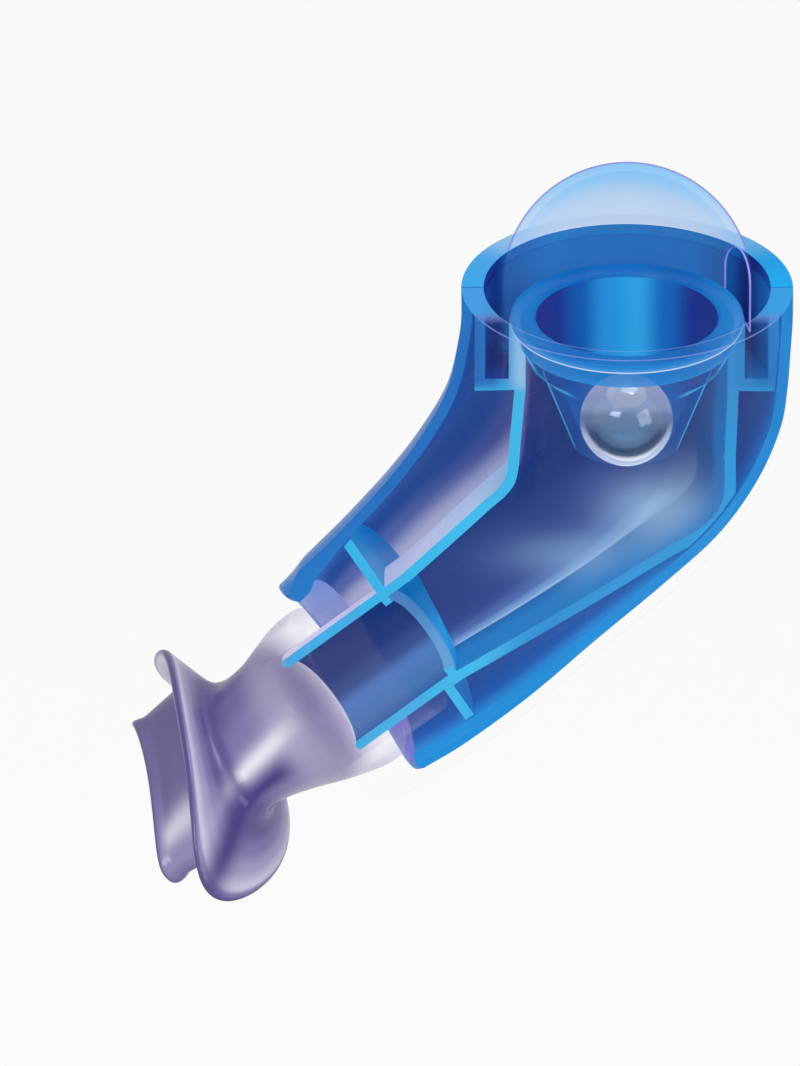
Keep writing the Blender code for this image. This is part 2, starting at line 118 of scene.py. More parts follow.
def spline(points: np.ndarray, spots: np.ndarray) -> np.ndarray:
    """Return a Catmull-Rom curve through points.

    Each stretch is the cubic whose ends are two neighbouring points and whose end slopes are half
    the difference of the points on either side.

    Args:
        points: The points, one row each.
        spots: Where to read the curve, counted in points from 0.

    Returns:
        One row for each spot.
    """
    points = np.asarray(points, float)
    padded = np.concatenate([2 * points[:1] - points[1:2], points, 2 * points[-1:] - points[-2:-1]])
    first = np.clip(np.floor(spots).astype(int), 0, len(points) - 2)
    t = (spots - first).reshape((-1,) + (1,) * (points.ndim - 1))
    before, start, end, after = (padded[first + step] for step in range(4))
    return 0.5 * (2 * start + (end - before) * t + (2 * before - 5 * start + 4 * end - after) * t**2
                  + (3 * start - before - 3 * end + after) * t**3)


@dataclass
class Sections:
    """Cross-sections of a bent tube, each given by its two ends on the median plane.

    Attributes:
        left: Upper-left ends (x, z), one row each.
        right: Lower-right ends (x, z).
        depth: Half depths along Y.
        square: 2 for an ellipse, more for a squarer section.
    """

    left: np.ndarray
    right: np.ndarray
    depth: np.ndarray
    square: np.ndarray

    @classmethod
    def of(cls, left: list, right: list, depth: list, square: list | float = 2.0) -> "Sections":
        """Return sections from plain lists."""
        count = len(left)
        return cls(np.asarray(left, float), np.asarray(right, float),
                   np.broadcast_to(np.asarray(depth, float), (count,)).copy(),
                   np.broadcast_to(np.asarray(square, float), (count,)).copy())

    @classmethod
    def level(cls, radii: list, heights: list) -> "Sections":
        """Return round sections across the head axis."""
        radii = np.asarray(radii, float)
        heights = np.asarray(heights, float)
        return cls.of(np.column_stack([-radii, heights]), np.column_stack([radii, heights]), radii)

    @classmethod
    def joined(cls, parts: list["Sections"]) -> "Sections":
        """Return several runs of sections as one run."""
        return cls(*(np.concatenate([getattr(part, name) for part in parts])
                     for name in ("left", "right", "depth", "square")))

    def read(self, spots: np.ndarray) -> "Sections":
        """Return the sections on smooth curves through these, at spots counted from 0."""
        return Sections(spline(self.left, spots), spline(self.right, spots),
                        spline(self.depth, spots), np.maximum(spline(self.square, spots), 2.0))

    def part(self, keep: np.ndarray | slice) -> "Sections":
        """Return only some of the sections."""
        return Sections(self.left[keep], self.right[keep], self.depth[keep], self.square[keep])

    def inset(self, distance: float | np.ndarray) -> "Sections":
        """Return the sections moved inward square to both outlines, by one distance or one each."""
        distance = np.broadcast_to(distance, self.depth.shape)
        left_run = np.gradient(self.left, axis=0)
        right_run = np.gradient(self.right, axis=0)
        left_in = np.column_stack([-left_run[:, 1], left_run[:, 0]])
        right_in = np.column_stack([right_run[:, 1], -right_run[:, 0]])
        left_in /= np.linalg.norm(left_in, axis=1, keepdims=True)
        right_in /= np.linalg.norm(right_in, axis=1, keepdims=True)
        return Sections(self.left + distance[:, None] * left_in,
                        self.right + distance[:, None] * right_in,
                        self.depth - distance, self.square)

    def shrunk(self, inset: float, shift: np.ndarray) -> "Sections":
        """Return the sections drawn in along their own span and shifted on the median plane."""
        across = self.right - self.left
        across /= np.linalg.norm(across, axis=1, keepdims=True)
        return Sections(self.left + shift + inset * across, self.right + shift - inset * across,
                        self.depth - inset, self.square)

    def backwards(self) -> "Sections":
        """Return the sections in the opposite order."""
        return self.part(slice(None, None, -1))


def cross(origin: np.ndarray, along: np.ndarray, spot: np.ndarray, normal: np.ndarray
          ) -> np.ndarray:
    """Return where a line through origin meets the line through spot that is square to normal."""
    return origin + along * (normal @ (spot - origin)) / (normal @ along)


def where_outline_meets(outline: np.ndarray, spot: np.ndarray, normal: np.ndarray) -> np.ndarray:
    """Return where a polyline crosses the line through spot that is square to normal.

    The signed distance of the points to the line changes sign, and the place in the last stretch
    where it does is shared out by the two distances.

    Args:
        outline: Points of the polyline.
        spot: A point of the line.
        normal: The line's normal.

    Returns:
        The crossing point.
    """
    distance = (outline - spot) @ normal
    step = int(np.nonzero(np.diff(np.sign(distance)))[0][-1])
    share = distance[step] / (distance[step] - distance[step + 1])
    return outline[step] + share * (outline[step + 1] - outline[step])


def kept_inside(points: np.ndarray, outline: np.ndarray, inward: np.ndarray) -> np.ndarray:
    """Return points moved onto an outline where they lie outside it.

    Args:
        points: The points to keep inside.
        outline: A dense polyline.
        inward: Its inward normals.

    Returns:
        The points, those outside replaced by the nearest point of the outline.
    """
    nearest = np.argmin(np.linalg.norm(points[:, None] - outline[None], axis=2), axis=1)
    within = np.sum((points - outline[nearest]) * inward[nearest], axis=1)
    return np.where(within[:, None] < 0.0, outline[nearest], points)


# Body measures


@dataclass(frozen=True)
class InletAxis:
    """The axis of the inlet tube, and positions measured along it from the tube's tip."""

    tip: tuple[float, float] = (-52.95, -81.3)
    angle: float = math.radians(39.0)

    @property
    def along(self) -> np.ndarray:
        """Return the unit (x, z) direction up the tube."""
        return np.array([math.cos(self.angle), math.sin(self.angle)])

    @property
    def across(self) -> np.ndarray:
        """Return the unit (x, z) direction square to the tube, toward the upper left."""
        return np.array([-math.sin(self.angle), math.cos(self.angle)])

    def rings(self, rows: list[tuple[float, float]]) -> Sections:
        """Return round sections square to the tube from (distance, radius) rows."""
        s, radius = np.asarray(rows, float).T
        centre = np.asarray(self.tip) + np.outer(s, self.along)
        return Sections.of(centre + np.outer(radius, self.across),
                           centre - np.outer(radius, self.across), radius)


@dataclass(frozen=True)
class BodyForm:
    """Driving sizes that the shell and the airway share, in millimetres."""

    gap: float = 0.3
    half_cut: float = 0.15
    shell_left: tuple = ((-28.5, 0.0), (-28.5, -6.2), (-29.0, -10.8), (-30.5, -18.4),
                         (-33.1, -24.8), (-37.7, -32.5), (-42.2, -38.7), (-46.9, -44.4),
                         (-51.0, -49.1), (-54.6, -52.9), (-56.8, -55.4), (-57.8, -58.0))
    shell_right: tuple = ((28.5, 0.0), (28.5, -6.2), (28.2, -12.0), (27.7, -19.7), (26.5, -27.5),
                          (22.6, -37.5), (16.0, -47.8), (6.4, -57.6), (-5.0, -68.3),
                          (-16.5, -79.3), (-27.5, -88.4), (-34.6, -93.2))
    shell_depth: tuple = (28.5, 28.5, 28.4, 28.1, 27.6, 27.0, 26.3, 25.4, 24.4, 23.3, 22.4, 21.8)
    shell_wall: float = 1.9
    end_wall: tuple = (0.0, 0.0, 0.0, 0.0, 0.0, 0.0, 0.0, 0.0, 0.3, 1.0, 1.5, 1.5)
    lip_radius: float = 24.6
    lip_height: float = 2.0
    duct_left: tuple = ((-17.4, -20.0), (-18.1, -28.5), (-18.8, -36.4), (-20.4, -39.8),
                        (-23.6, -43.0), (-28.3, -47.8), (-32.9, -52.4), (-37.4, -56.9))
    duct_right: tuple = ((17.4, -20.0), (17.0, -32.0), (16.7, -41.2), (13.2, -46.2),
                         (6.0, -51.0), (-6.0, -59.2), (-17.6, -66.8), (-29.2, -74.3))
    duct_depth: tuple = (17.4, 17.2, 16.2, 14.6, 12.8, 11.0, 9.6, 9.0)
    duct_square: tuple = (2.0, 2.0, 2.5, 3.2, 4.0, 4.8, 5.4, 6.0)
    duct_wall: float = 1.9
    web_foot: tuple = (-24.6, -87.0)
    web_head: tuple = (-48.6, -48.6)
    web_thickness: float = 1.8

    def shell(self, rows: int = 90) -> Sections:
        """Return the shell's outer sections from rim to open end."""
        plain = Sections.of(self.shell_left, self.shell_right, self.shell_depth)
        return plain.read(np.linspace(0.0, len(self.shell_left) - 1.0, rows))

    def shell_room(self, gap: float = 0.0, rows: int = 90) -> Sections:
        """Return the shell's inner sections, its wall thicker toward the open end, less a gap."""
        spots = np.linspace(0.0, len(self.shell_left) - 1.0, rows)
        wall = self.shell_wall + spline(np.asarray(self.end_wall), spots)
        return self.shell(rows).inset(wall + gap)

    def duct(self, inset: float = 0.0, rows: int = 56) -> Sections:
        """Return the duct's sections from the groove's underside down, moved inward."""
        plain = Sections.of(self.duct_left, self.duct_right, self.duct_depth, self.duct_square)
        return plain.read(np.linspace(0.0, len(self.duct_left) - 1.0, rows)).inset(inset)


# Meshes


@dataclass
class Loop:
    """A closed run of sections round the wall of one half, and the zone after each section."""

    runs: list[Sections] = field(default_factory=list)
    zones: list[Zone] = field(default_factory=list)

    def add(self, zone: Zone, run: Sections) -> None:
        """Add a run of sections whose faces, up to the next section, belong to a zone."""
        self.runs.append(run)
        self.zones += [zone] * len(run.depth)

    def sections(self) -> Sections:
        """Return all the sections as one run."""
        return Sections.joined(self.runs)


@dataclass
class Patch:
    """A grid of points with its faces' zones and its own coordinates."""

    points: np.ndarray
    zones: list[Zone]
    closed_rows: bool = True
    closed_columns: bool = False
    row_values: dict[str, np.ndarray] = field(default_factory=dict)

    def faces(self) -> np.ndarray:
        """Return the quads of the grid as point numbers."""
        rows, columns = self.points.shape[:2]
        row = np.arange(rows if self.closed_rows else rows - 1)
        column = np.arange(columns if self.closed_columns else columns - 1)
        a, b = np.meshgrid(row, column, indexing="ij")
        a2, b2 = (a + 1) % rows, (b + 1) % columns
        quads = np.stack([a * columns + b, a2 * columns + b,
                          a2 * columns + b2, a * columns + b2], -1)
        return quads.reshape(-1, 4)

    def face_zones(self) -> list[Zone]:
        """Return the zone of each quad."""
        columns = self.points.shape[1] if self.closed_columns else self.points.shape[1] - 1
        rows = self.points.shape[0] if self.closed_rows else self.points.shape[0] - 1
        return [self.zones[index] for index in range(rows) for _ in range(columns)]


def half_points(sections: Sections, side: Side, cut: float, columns: int) -> np.ndarray:
    """Return the grid of one half of a run of sections.

    A section is the curve (|cos a|^p, |sin a|^p) with p two over its squareness, scaled by its half
    span on the median plane and its half depth.  The angle runs over half a turn from the left end
    to the right end, and the half starts at a small distance from the median plane.

    Args:
        sections: The sections, one row of points each.
        side: Rear or front.
        cut: Distance of the cut face from the median plane.
        columns: Points in a row.

    Returns:
        Points as rows x columns x 3, in millimetres.
    """
    turn = np.linspace(0.0, math.pi, columns)[None, :]
    power = (2.0 / sections.square)[:, None]
    along = -np.sign(np.cos(turn)) * np.abs(np.cos(turn)) ** power
    out = np.abs(np.sin(turn)) ** power
    out[:, [0, -1]] = 0.0
    middle = (sections.left + sections.right) / 2
    half = (sections.right - sections.left) / 2
    y = side.value * (cut + (sections.depth[:, None] - cut) * out)
    x, z = (middle[:, [axis]] + half[:, [axis]] * along for axis in (0, 1))
    return np.stack([x, y, z], -1)


def turned_points(profile: np.ndarray, columns: int) -> np.ndarray:
    """Return the grid of a profile (radius, z) carried once round the head axis."""
    turn = 2.0 * math.pi * np.arange(columns) / columns
    radius, height = profile[:, 0, None], profile[:, 1, None]
    return np.stack([radius * np.cos(turn), radius * np.sin(turn),
                     np.broadcast_to(height, (len(profile), columns))], -1)


def add_object(name: str, data: bpy.types.ID) -> bpy.types.Object:
    """Return a new object of the scene that shows some data."""
    item = bpy.data.objects.new(name, data)
    bpy.context.scene.collection.objects.link(item)
    return item


def surface_object(name: str, patch: Patch, order: list[Zone], caps: bool, sharp: float = 32.0
                   ) -> bpy.types.Object:
    """Return an object made of a grid, its ends closed where asked, facing outwards.

    Args:
        name: The piece's name.
        patch: The grid.
        order: The zones in the order of the piece's material slots.
        caps: Whether the first and last column are closed by flat cut faces.
        sharp: Edges over this many degrees stay crisp.

    Returns:
        The new object, with a UV map whose U runs round and V along the surface.
    """
    rows, columns = patch.points.shape[:2]
    quads = patch.faces()
    slots = [order.index(zone) for zone in patch.face_zones()]
    polygons = [tuple(quad) for quad in quads.tolist()]
    if caps:
        first = tuple(int(row) * columns for row in range(rows))
        last = tuple(int(row) * columns + columns - 1 for row in reversed(range(rows)))
        polygons += [first, last]
        slots += [order.index(Zone.CUT)] * 2
    mesh = bpy.data.meshes.new(name)
    mesh.from_pydata((patch.points.reshape(-1, 3) * MM).tolist(), [], polygons)
    mesh.polygons.foreach_set("material_index", slots)
    add_grid_uv(mesh, patch)
    for title, values in patch.row_values.items():
        layer = mesh.attributes.new(title, "FLOAT", "POINT")
        layer.data.foreach_set("value", np.repeat(values, columns).astype(np.float32))
    joined = bmesh.new()
    joined.from_mesh(mesh)
    bmesh.ops.remove_doubles(joined, verts=joined.verts, dist=SAME_POINT)
    bmesh.ops.recalc_face_normals(joined, faces=joined.faces)
    joined.to_mesh(mesh)
    joined.free()
    mesh.shade_smooth()
    mesh.set_sharp_from_angle(angle=math.radians(sharp))
    return add_object(name, mesh)


def add_grid_uv(mesh: bpy.types.Mesh, patch: Patch) -> None:
    """Write a UV map: U is the share of the way round, V the length along the rows in decimetres.

    The faces that close a ring end at U = 1, so the map has no fold there.

    Args:
        mesh: The mesh made from the grid, its quads first.
        patch: The grid.
    """
    columns = patch.points.shape[1]
    steps = np.linalg.norm(np.diff(patch.points[:, columns // 2], axis=0), axis=1)
    run = np.concatenate([[0.0], np.cumsum(steps)]) / GRID_UNIT
    around = np.arange(columns) / (columns if patch.closed_columns else columns - 1)
    grid = np.stack(np.broadcast_arrays(around[None, :], run[:, None]), -1).reshape(-1, 2)
    corner = np.zeros(len(mesh.loops), dtype=np.int32)
    mesh.loops.foreach_get("vertex_index", corner)
    values = grid[corner]
    if patch.closed_columns:
        quads = values.reshape(-1, columns, 4, 2)
        quads[:, -1, 2:, 0] = 1.0
    layer = mesh.uv_layers.new(name="flow")
    layer.data.foreach_set("uv", values.ravel())


def soften_edges(item: bpy.types.Object, width: float) -> None:
    """Round the crisp edges of a piece by a width in millimetres."""
    bevel = item.modifiers.new("edge round", "BEVEL")
    bevel.width = width * MM
    bevel.segments = EDGE_STEPS
    bevel.limit_method = "ANGLE"
    bevel.angle_limit = EDGE_ANGLE
    bevel.harden_normals = True
    bevel.use_clamp_overlap = True


# Finishes


class Board:
    """Lays out the nodes of one material, or of the world."""

    def __init__(self, name: str, world: bool = False) -> None:
        """Start a material, or a world, with only its output."""
        self.owner = (bpy.data.worlds if world else bpy.data.materials).new(name)
        self.owner.use_nodes = True
        self.tree = self.owner.node_tree
        self.tree.nodes.clear()
        self.output = self.node("OutputWorld" if world else "OutputMaterial")

    def node(self, kind: str, inputs: dict | None = None, **settings: object) -> bpy.types.Node:
        """Add a node.

        Args:
            kind: The node's type.
            inputs: Input name or number to a constant or to another node's output socket.
            **settings: Properties of the node.

        Returns:
            The new node.
        """
        made = self.tree.nodes.new("ShaderNode" + kind)
        for key, value in settings.items():
            setattr(made, key, value)
        for key, value in (inputs or {}).items():
            if isinstance(value, Socket):
                self.tree.links.new(value, made.inputs[key])
            else:
                made.inputs[key].default_value = value
        return made

    def ramp(self, factor: Socket, colours: Stops) -> Socket:
        """Return colours read from a ramp with smooth stops."""
        made = self.node("ValToRGB", {"Fac": factor})
        made.color_ramp.interpolation = "EASE"
        while len(made.color_ramp.elements) < len(colours):
            made.color_ramp.elements.new(0.5)
        for element, (place, colour) in zip(made.color_ramp.elements, colours):
            element.position = place
            element.color = (*colour, 1.0)
        return made.outputs["Color"]

    def mix(self, factor: object, first: object, second: object) -> Socket:
        """Return a mix of two colours."""
        first, second = (value if isinstance(value, Socket) else (*value, 1.0)
                         for value in (first, second))
        return self.node("Mix", {0: factor, 6: first, 7: second}, data_type="RGBA").outputs[2]

    def math(self, operation: str, *values: object) -> Socket:
        """Return a sum worked out by a Math node."""
        return self.node("Math", dict(enumerate(values)), operation=operation).outputs[0]

    def vector(self, operation: str, *values: object, out: str = "Vector") -> Socket:
        """Return the result of a Vector Math node, or its value."""
        made = self.node("VectorMath", dict(enumerate(values)), operation=operation)
        return made.outputs[out]

    def scaled(self, colour: Socket, share: float | Socket) -> Socket:
        """Return a colour times a number."""
        return self.node("VectorMath", {0: colour, 3: share}, operation="SCALE").outputs["Vector"]

    def place(self) -> Socket:
        """Return the place on the piece."""
        return self.node("TexCoord").outputs["Object"]

    def span(self, value: Socket, low: float, high: float, first: float = 0.0,
             last: float = 1.0) -> Socket:
        """Return a value carried smoothly from one range to another and kept inside it."""
        made = self.node("MapRange", {"Value": value, "From Min": low, "From Max": high,
                                      "To Min": first, "To Max": last},
                         interpolation_type="SMOOTHSTEP")
        return made.outputs["Result"]

    def along(self, direction: Direction, low: float, high: float) -> Socket:
        """Return 0 to 1 along a direction of the piece, between two distances in millimetres."""
        dot = self.vector("DOT_PRODUCT", self.place(), direction, out="Value")
        made = self.node("MapRange", {"Value": dot, "From Min": low * MM, "From Max": high * MM})
        return made.outputs["Result"]

    def around(self) -> Socket:
        """Return the share of the way round the wall."""
        uv = self.node("UVMap", uv_map="flow").outputs["UV"]
        return self.node("SeparateXYZ", {0: uv}).outputs["X"]

    def row_value(self, title: str) -> Socket:
        """Return a value that the mesh keeps for each of its rows."""
        return self.node("Attribute", attribute_name=title).outputs["Fac"]

    def bell(self, value: Socket, centre: float, width: float, weight: float) -> Socket:
        """Return weight * exp(-((value - centre) / width)^2)."""
        off = self.math("DIVIDE", self.math("SUBTRACT", value, centre), width)
        power = self.math("MULTIPLY", self.math("MULTIPLY", off, off), -1.0)
        return self.math("MULTIPLY", self.math("POWER", math.e, power), weight)

    def wash(self, wash: "Wash") -> Socket:
        """Return the colours of a wash."""
        if wash.direction is None:
            return self.ramp(self.around(), wash.stops)
        return self.ramp(self.along(wash.direction, wash.low, wash.high), wash.stops)

    def gleam(self, colour: Socket, gleam: "Gleam") -> Socket:
        """Return a colour with a soft patch of light laid over it."""
        centre = tuple(value * MM for value in gleam.centre)
        reach = tuple(value * MM for value in gleam.reach)
        off = self.vector("DIVIDE", self.vector("SUBTRACT", self.place(), centre), reach)
        square = self.vector("DOT_PRODUCT", off, off, out="Value")
        fall = self.math("POWER", math.e, self.math("MULTIPLY", square, -1.0))
        return self.mix(self.math("MULTIPLY", fall, gleam.weight), colour, gleam.colour)

    def grain(self, scale: float, strength: float) -> Socket:
        """Return the normal of a faint moulded surface: low waves under a fine orange peel."""
        place = self.place()
        fine = self.node("TexNoise", {"Vector": place, "Scale": scale, "Detail": 3.0})
        broad = self.node("TexNoise", {"Vector": place, "Scale": scale / 9.0, "Detail": 1.0})
        waves = self.math("MULTIPLY", broad.outputs["Fac"], 3.0)
        height = self.math("ADD", fine.outputs["Fac"], waves)
        bump = self.node("Bump", {"Height": height, "Strength": strength, "Distance": 0.0002})
        return bump.outputs["Normal"]

    def facing(self) -> Socket:
        """Return 0 where the surface is seen flat and 1 where it is seen edge on."""
        return self.node("LayerWeight", {"Blend": 0.5}).outputs["Facing"]

    def glowing(self, colour: Socket, base: float, glow: float, inputs: dict) -> Socket:
        """Return a plastic or metal that also gives off some of its own colour as emission, a
        painted glow.

        Args:
            colour: The colour.
            base: Share of the colour that the light falls on.
            glow: Share of the colour given off as emission, a painted glow.
            inputs: The shader's other inputs.

        Returns:
            The shader.
        """
        shader = self.node("BsdfPrincipled", {
            "Base Color": self.scaled(colour, base), "Emission Color": colour,
            "Emission Strength": glow, **inputs})
        return shader.outputs["BSDF"]

    def veil(self, share: Socket, shader: Socket, through: tuple = WHITE) -> Socket:
        """Return a share of a shader over clear plastic that tints what is seen through it."""
        clear = self.node("BsdfTransparent", {"Color": through})
        return self.node("MixShader", {0: share, 1: clear.outputs[0], 2: shader}).outputs[0]

    def seen(self) -> Socket:
        """Return 1 where the camera looks straight or through a clear piece, and 0 elsewhere."""
        path = self.node("LightPath").outputs
        return self.math("MAXIMUM", path["Is Camera Ray"], path["Is Transmission Ray"])

    def finish(self, shader: Socket) -> bpy.types.ID:
        """Join a shader to the output and return the material or the world."""
        self.tree.links.new(shader, self.output.inputs["Surface"])
        return self.owner


@dataclass(frozen=True)
class Wash:
    """Colours read round a wall from cut face to cut face, or along a direction of the piece.

    Attributes:
        stops: Places from 0 to 1 and their colours.
        direction: Direction of reading, or None to read round the wall.
        low: Where the reading starts along the direction, in millimetres.
        high: Where it ends.
    """

    stops: Stops
    direction: Direction | None = None
    low: float = 0.0
    high: float = 1.0


@dataclass(frozen=True)
class Gleam:
    """A soft patch of caught light.

    Its weight falls off as exp(-d^2), with d the distance from its centre counted in its reach.
    """

    centre: Direction
    reach: Direction
    colour: Colour
    weight: float = 0.8


@dataclass(frozen=True)
class MouldedPlastic:
    """Glossy coloured plastic that gives off some of its own colour as emission, a painted glow.

    Attributes:
        name: Material name.
        wash: Colours of the surface.
        upper: Colours that take over higher up, if they differ.
        turn_low: Height where the upper colours set in.
        turn_high: Height above which only they show.
        gleams: Soft patches of light.
        roughness: Roughness of the surface.
        glow: Share of its colour given off as emission, a painted glow that lifts it as light
            would.
        coat: Weight of the clear gloss.
        shine: Strength of the plain reflection.
    """

    name: str
    wash: Wash
    upper: Wash | None = None
    turn_low: float = -60.0
    turn_high: float = -30.0
    gleams: tuple[Gleam, ...] = ()
    roughness: float = 0.3
    glow: float = 0.5
    coat: float = 0.05
    shine: float = 0.1

    def build(self) -> bpy.types.Material:
        """Return the material."""
        board = Board(self.name)
        colour = board.wash(self.wash)
        if self.upper is not None:
            rise = board.span(board.along(UP, self.turn_low, self.turn_high), 0.0, 1.0)
            colour = board.mix(rise, colour, board.wash(self.upper))
        for gleam in self.gleams:
            colour = board.gleam(colour, gleam)
        cloud = board.node("TexNoise", {"Vector": board.place(), "Scale": 60.0, "Detail": 2.0})
        patchy = board.span(cloud.outputs["Fac"], 0.3, 0.7, 0.96, 1.04)
        rough = board.span(cloud.outputs["Fac"], 0.25, 0.75, self.roughness * 0.8,
                           self.roughness * 1.2)
        return board.finish(board.glowing(
            board.scaled(colour, patchy), 1.0 - self.glow, self.glow,
            {"Roughness": rough, "IOR": 1.45, "Coat Weight": self.coat, "Coat Roughness": 0.08,
             "Specular IOR Level": self.shine, "Normal": board.grain(1800.0, 0.05)}))


@dataclass(frozen=True)
class ClearPlastic:
    """Thin clear plastic: light goes straight through, tinted more where it is seen edge on.

    Attributes:
        name: Material name.
        wash: Tint of the plastic.
        edge: Tint where it is seen edge on.
        far_share: Share of the tint seen flat, at the back of the piece.
        near_share: The same, at the front of the piece.
        edge_share: Share of the tint seen edge on.
        edge_from: How far edge on the edge tint sets in, 0 to 1.
        edge_to: Where it is full.
        gloss: Share of reflection on top.
        glow: Share of its colour given off as emission, a painted glow.
        turn: Half the depth over which the back changes to the front, in millimetres.
        rise: Heights in millimetres between which the tint sets in, if it fades lower down.
        least: Share of the tint that stays below them.
        edge_fades: Whether the edge tint fades with the rest.
        lean: When given, the tint sets in by the distance from the head axis at which a line that
            leans back by this much meets the rim's plane, and not by height.
    """

    name: str
    wash: Wash
    edge: Colour
    far_share: float
    near_share: float
    edge_share: float
    edge_from: float = 0.75
    edge_to: float = 0.93
    gloss: float = 0.004
    glow: float = 0.6
    turn: float = 5.0
    rise: tuple[float, float] | None = None
    least: float = 0.0
    edge_fades: bool = True
    lean: float = 0.0

    def build(self) -> bpy.types.Material:
        """Return the material."""
        board = Board(self.name)
        edge = board.span(board.facing(), self.edge_from, self.edge_to)
        back = board.span(board.along(BACK, -self.turn, self.turn), 0.0, 1.0,
                          self.near_share, self.far_share)
        flat = board.math("MULTIPLY", back, board.math("SUBTRACT", 1.0, edge))
        rim = board.math("MULTIPLY", edge, self.edge_share)
        if self.rise is not None:
            fade = board.span(self.rising(board), 0.0, 1.0, self.least, 1.0)
            flat = board.math("MULTIPLY", flat, fade)
            rim = board.math("MULTIPLY", rim, fade if self.edge_fades else 1.0)
        tint = board.glowing(
            board.mix(edge, board.wash(self.wash), self.edge), 1.0 - self.glow, self.glow,
            {"Roughness": 0.3, "IOR": 1.45, "Specular IOR Level": 0.1,
             "Normal": board.grain(900.0, 0.03)})
        made = board.veil(board.math("ADD", flat, rim), tint)
        gloss = board.node("BsdfGlossy", {"Roughness": 0.06, "Color": WHITE})
        shine = board.math("MULTIPLY", board.node("Fresnel", {"IOR": 1.45}).outputs[0],
                           self.gloss * 10.0)
        shine = board.node("Clamp", {0: shine, 2: self.gloss * 4.0}).outputs[0]
        made = board.node("MixShader", {0: shine, 1: made, 2: gloss.outputs[0]})
        return board.finish(made.outputs[0])

    def rising(self, board: Board) -> Socket:
        """Return 0 to 1 over the stretch where the tint sets in."""
        if not self.lean:
            return board.along(UP, *self.rise)
        spot = board.node("SeparateXYZ", {0: board.place()}).outputs
        back = board.math("MAXIMUM", 0.0, board.math(
            "ADD", spot["Y"], board.math("MULTIPLY", spot["Z"], self.lean)))
        flat = board.node("CombineXYZ", {"X": spot["X"], "Y": back})
        away = board.vector("LENGTH", flat.outputs[0], out="Value")
        return board.span(away, self.rise[0] * MM, self.rise[1] * MM)


@dataclass(frozen=True)
class RimLines:
    """The near rim: blue beside the cut, then clear with a thin pale line along both its edges."""

    name: str = "near_rim_lines"
    reach: float = 28.5
    outer: float = 28.15
    inner: float = 24.95
    soft: float = 0.1
    colour: Colour = srgb(150, 162, 230)
    share: float = 0.5
    blue: Stops = stops(
        (0.0, 46, 160, 230), (0.45, 34, 122, 200), (0.6, 24, 130, 204), (1.0, 12, 160, 230))
    fade: tuple[float, float] = (-15.0, -9.0)

    def build(self) -> bpy.types.Material:
        """Return the material."""
        board = Board(self.name)
        flat = board.vector("MULTIPLY", board.place(), (1.0, 1.0, 0.0))
        radius = board.vector("LENGTH", flat, out="Value")
        outside = board.span(radius, (self.outer - self.soft) * MM, (self.outer + self.soft) * MM)
        inside = board.span(radius, (self.inner - self.soft) * MM, (self.inner + self.soft) * MM,
                            1.0, 0.0)
        lines = board.math("MULTIPLY", board.math("MAXIMUM", outside, inside), self.share)
        beside = board.span(board.along(BACK, *self.fade), 0.0, 1.0, 0.0, 0.9)
        blue = board.ramp(board.along(RIGHT, -self.reach, self.reach), self.blue)
        # The blue and the lines also give off their colour as emission, a painted glow.
        line = board.glowing(board.mix(beside, self.colour, blue), 0.6, 0.4,
                             {"Roughness": 0.3, "Specular IOR Level": 0.1})
        return board.finish(board.veil(board.math("MAXIMUM", lines, beside), line))


@dataclass(frozen=True)
class VentLine:
    """The wall of a vent: clear, with a thin violet line along its outer edge on the far side."""

    radius: float
    name: str = "vent_line"
    width: float = 0.3
    soft: float = 0.1
    colour: Colour = srgb(140, 142, 224)
    share: float = 0.8

    def build(self) -> bpy.types.Material:
        """Return the material."""
        board = Board(self.name)
        spot = board.node("SeparateXYZ", {0: board.place()}).outputs
        height = board.math("MAXIMUM", spot["Z"], 0.0)
        flat = board.node("CombineXYZ", {"X": spot["X"], "Y": spot["Y"], "Z": height})
        radius = board.vector("LENGTH", flat.outputs[0], out="Value")
        line = board.span(radius, (self.radius - self.width - self.soft) * MM,
                          (self.radius - self.width) * MM)
        far = board.span(board.along(BACK, 0.0, 2.0), 0.0, 1.0)
        share = board.math("MULTIPLY", board.math("MULTIPLY", line, far), self.share)
        colour = (*self.colour, 1.0)
        # The line also gives off its colour as emission, a painted glow.
        tint = board.node("BsdfPrincipled", {
            "Base Color": colour, "Roughness": 0.3, "Specular IOR Level": 0.1,
            "Emission Color": colour, "Emission Strength": 0.5})
        return board.finish(board.veil(share, tint.outputs["BSDF"]))


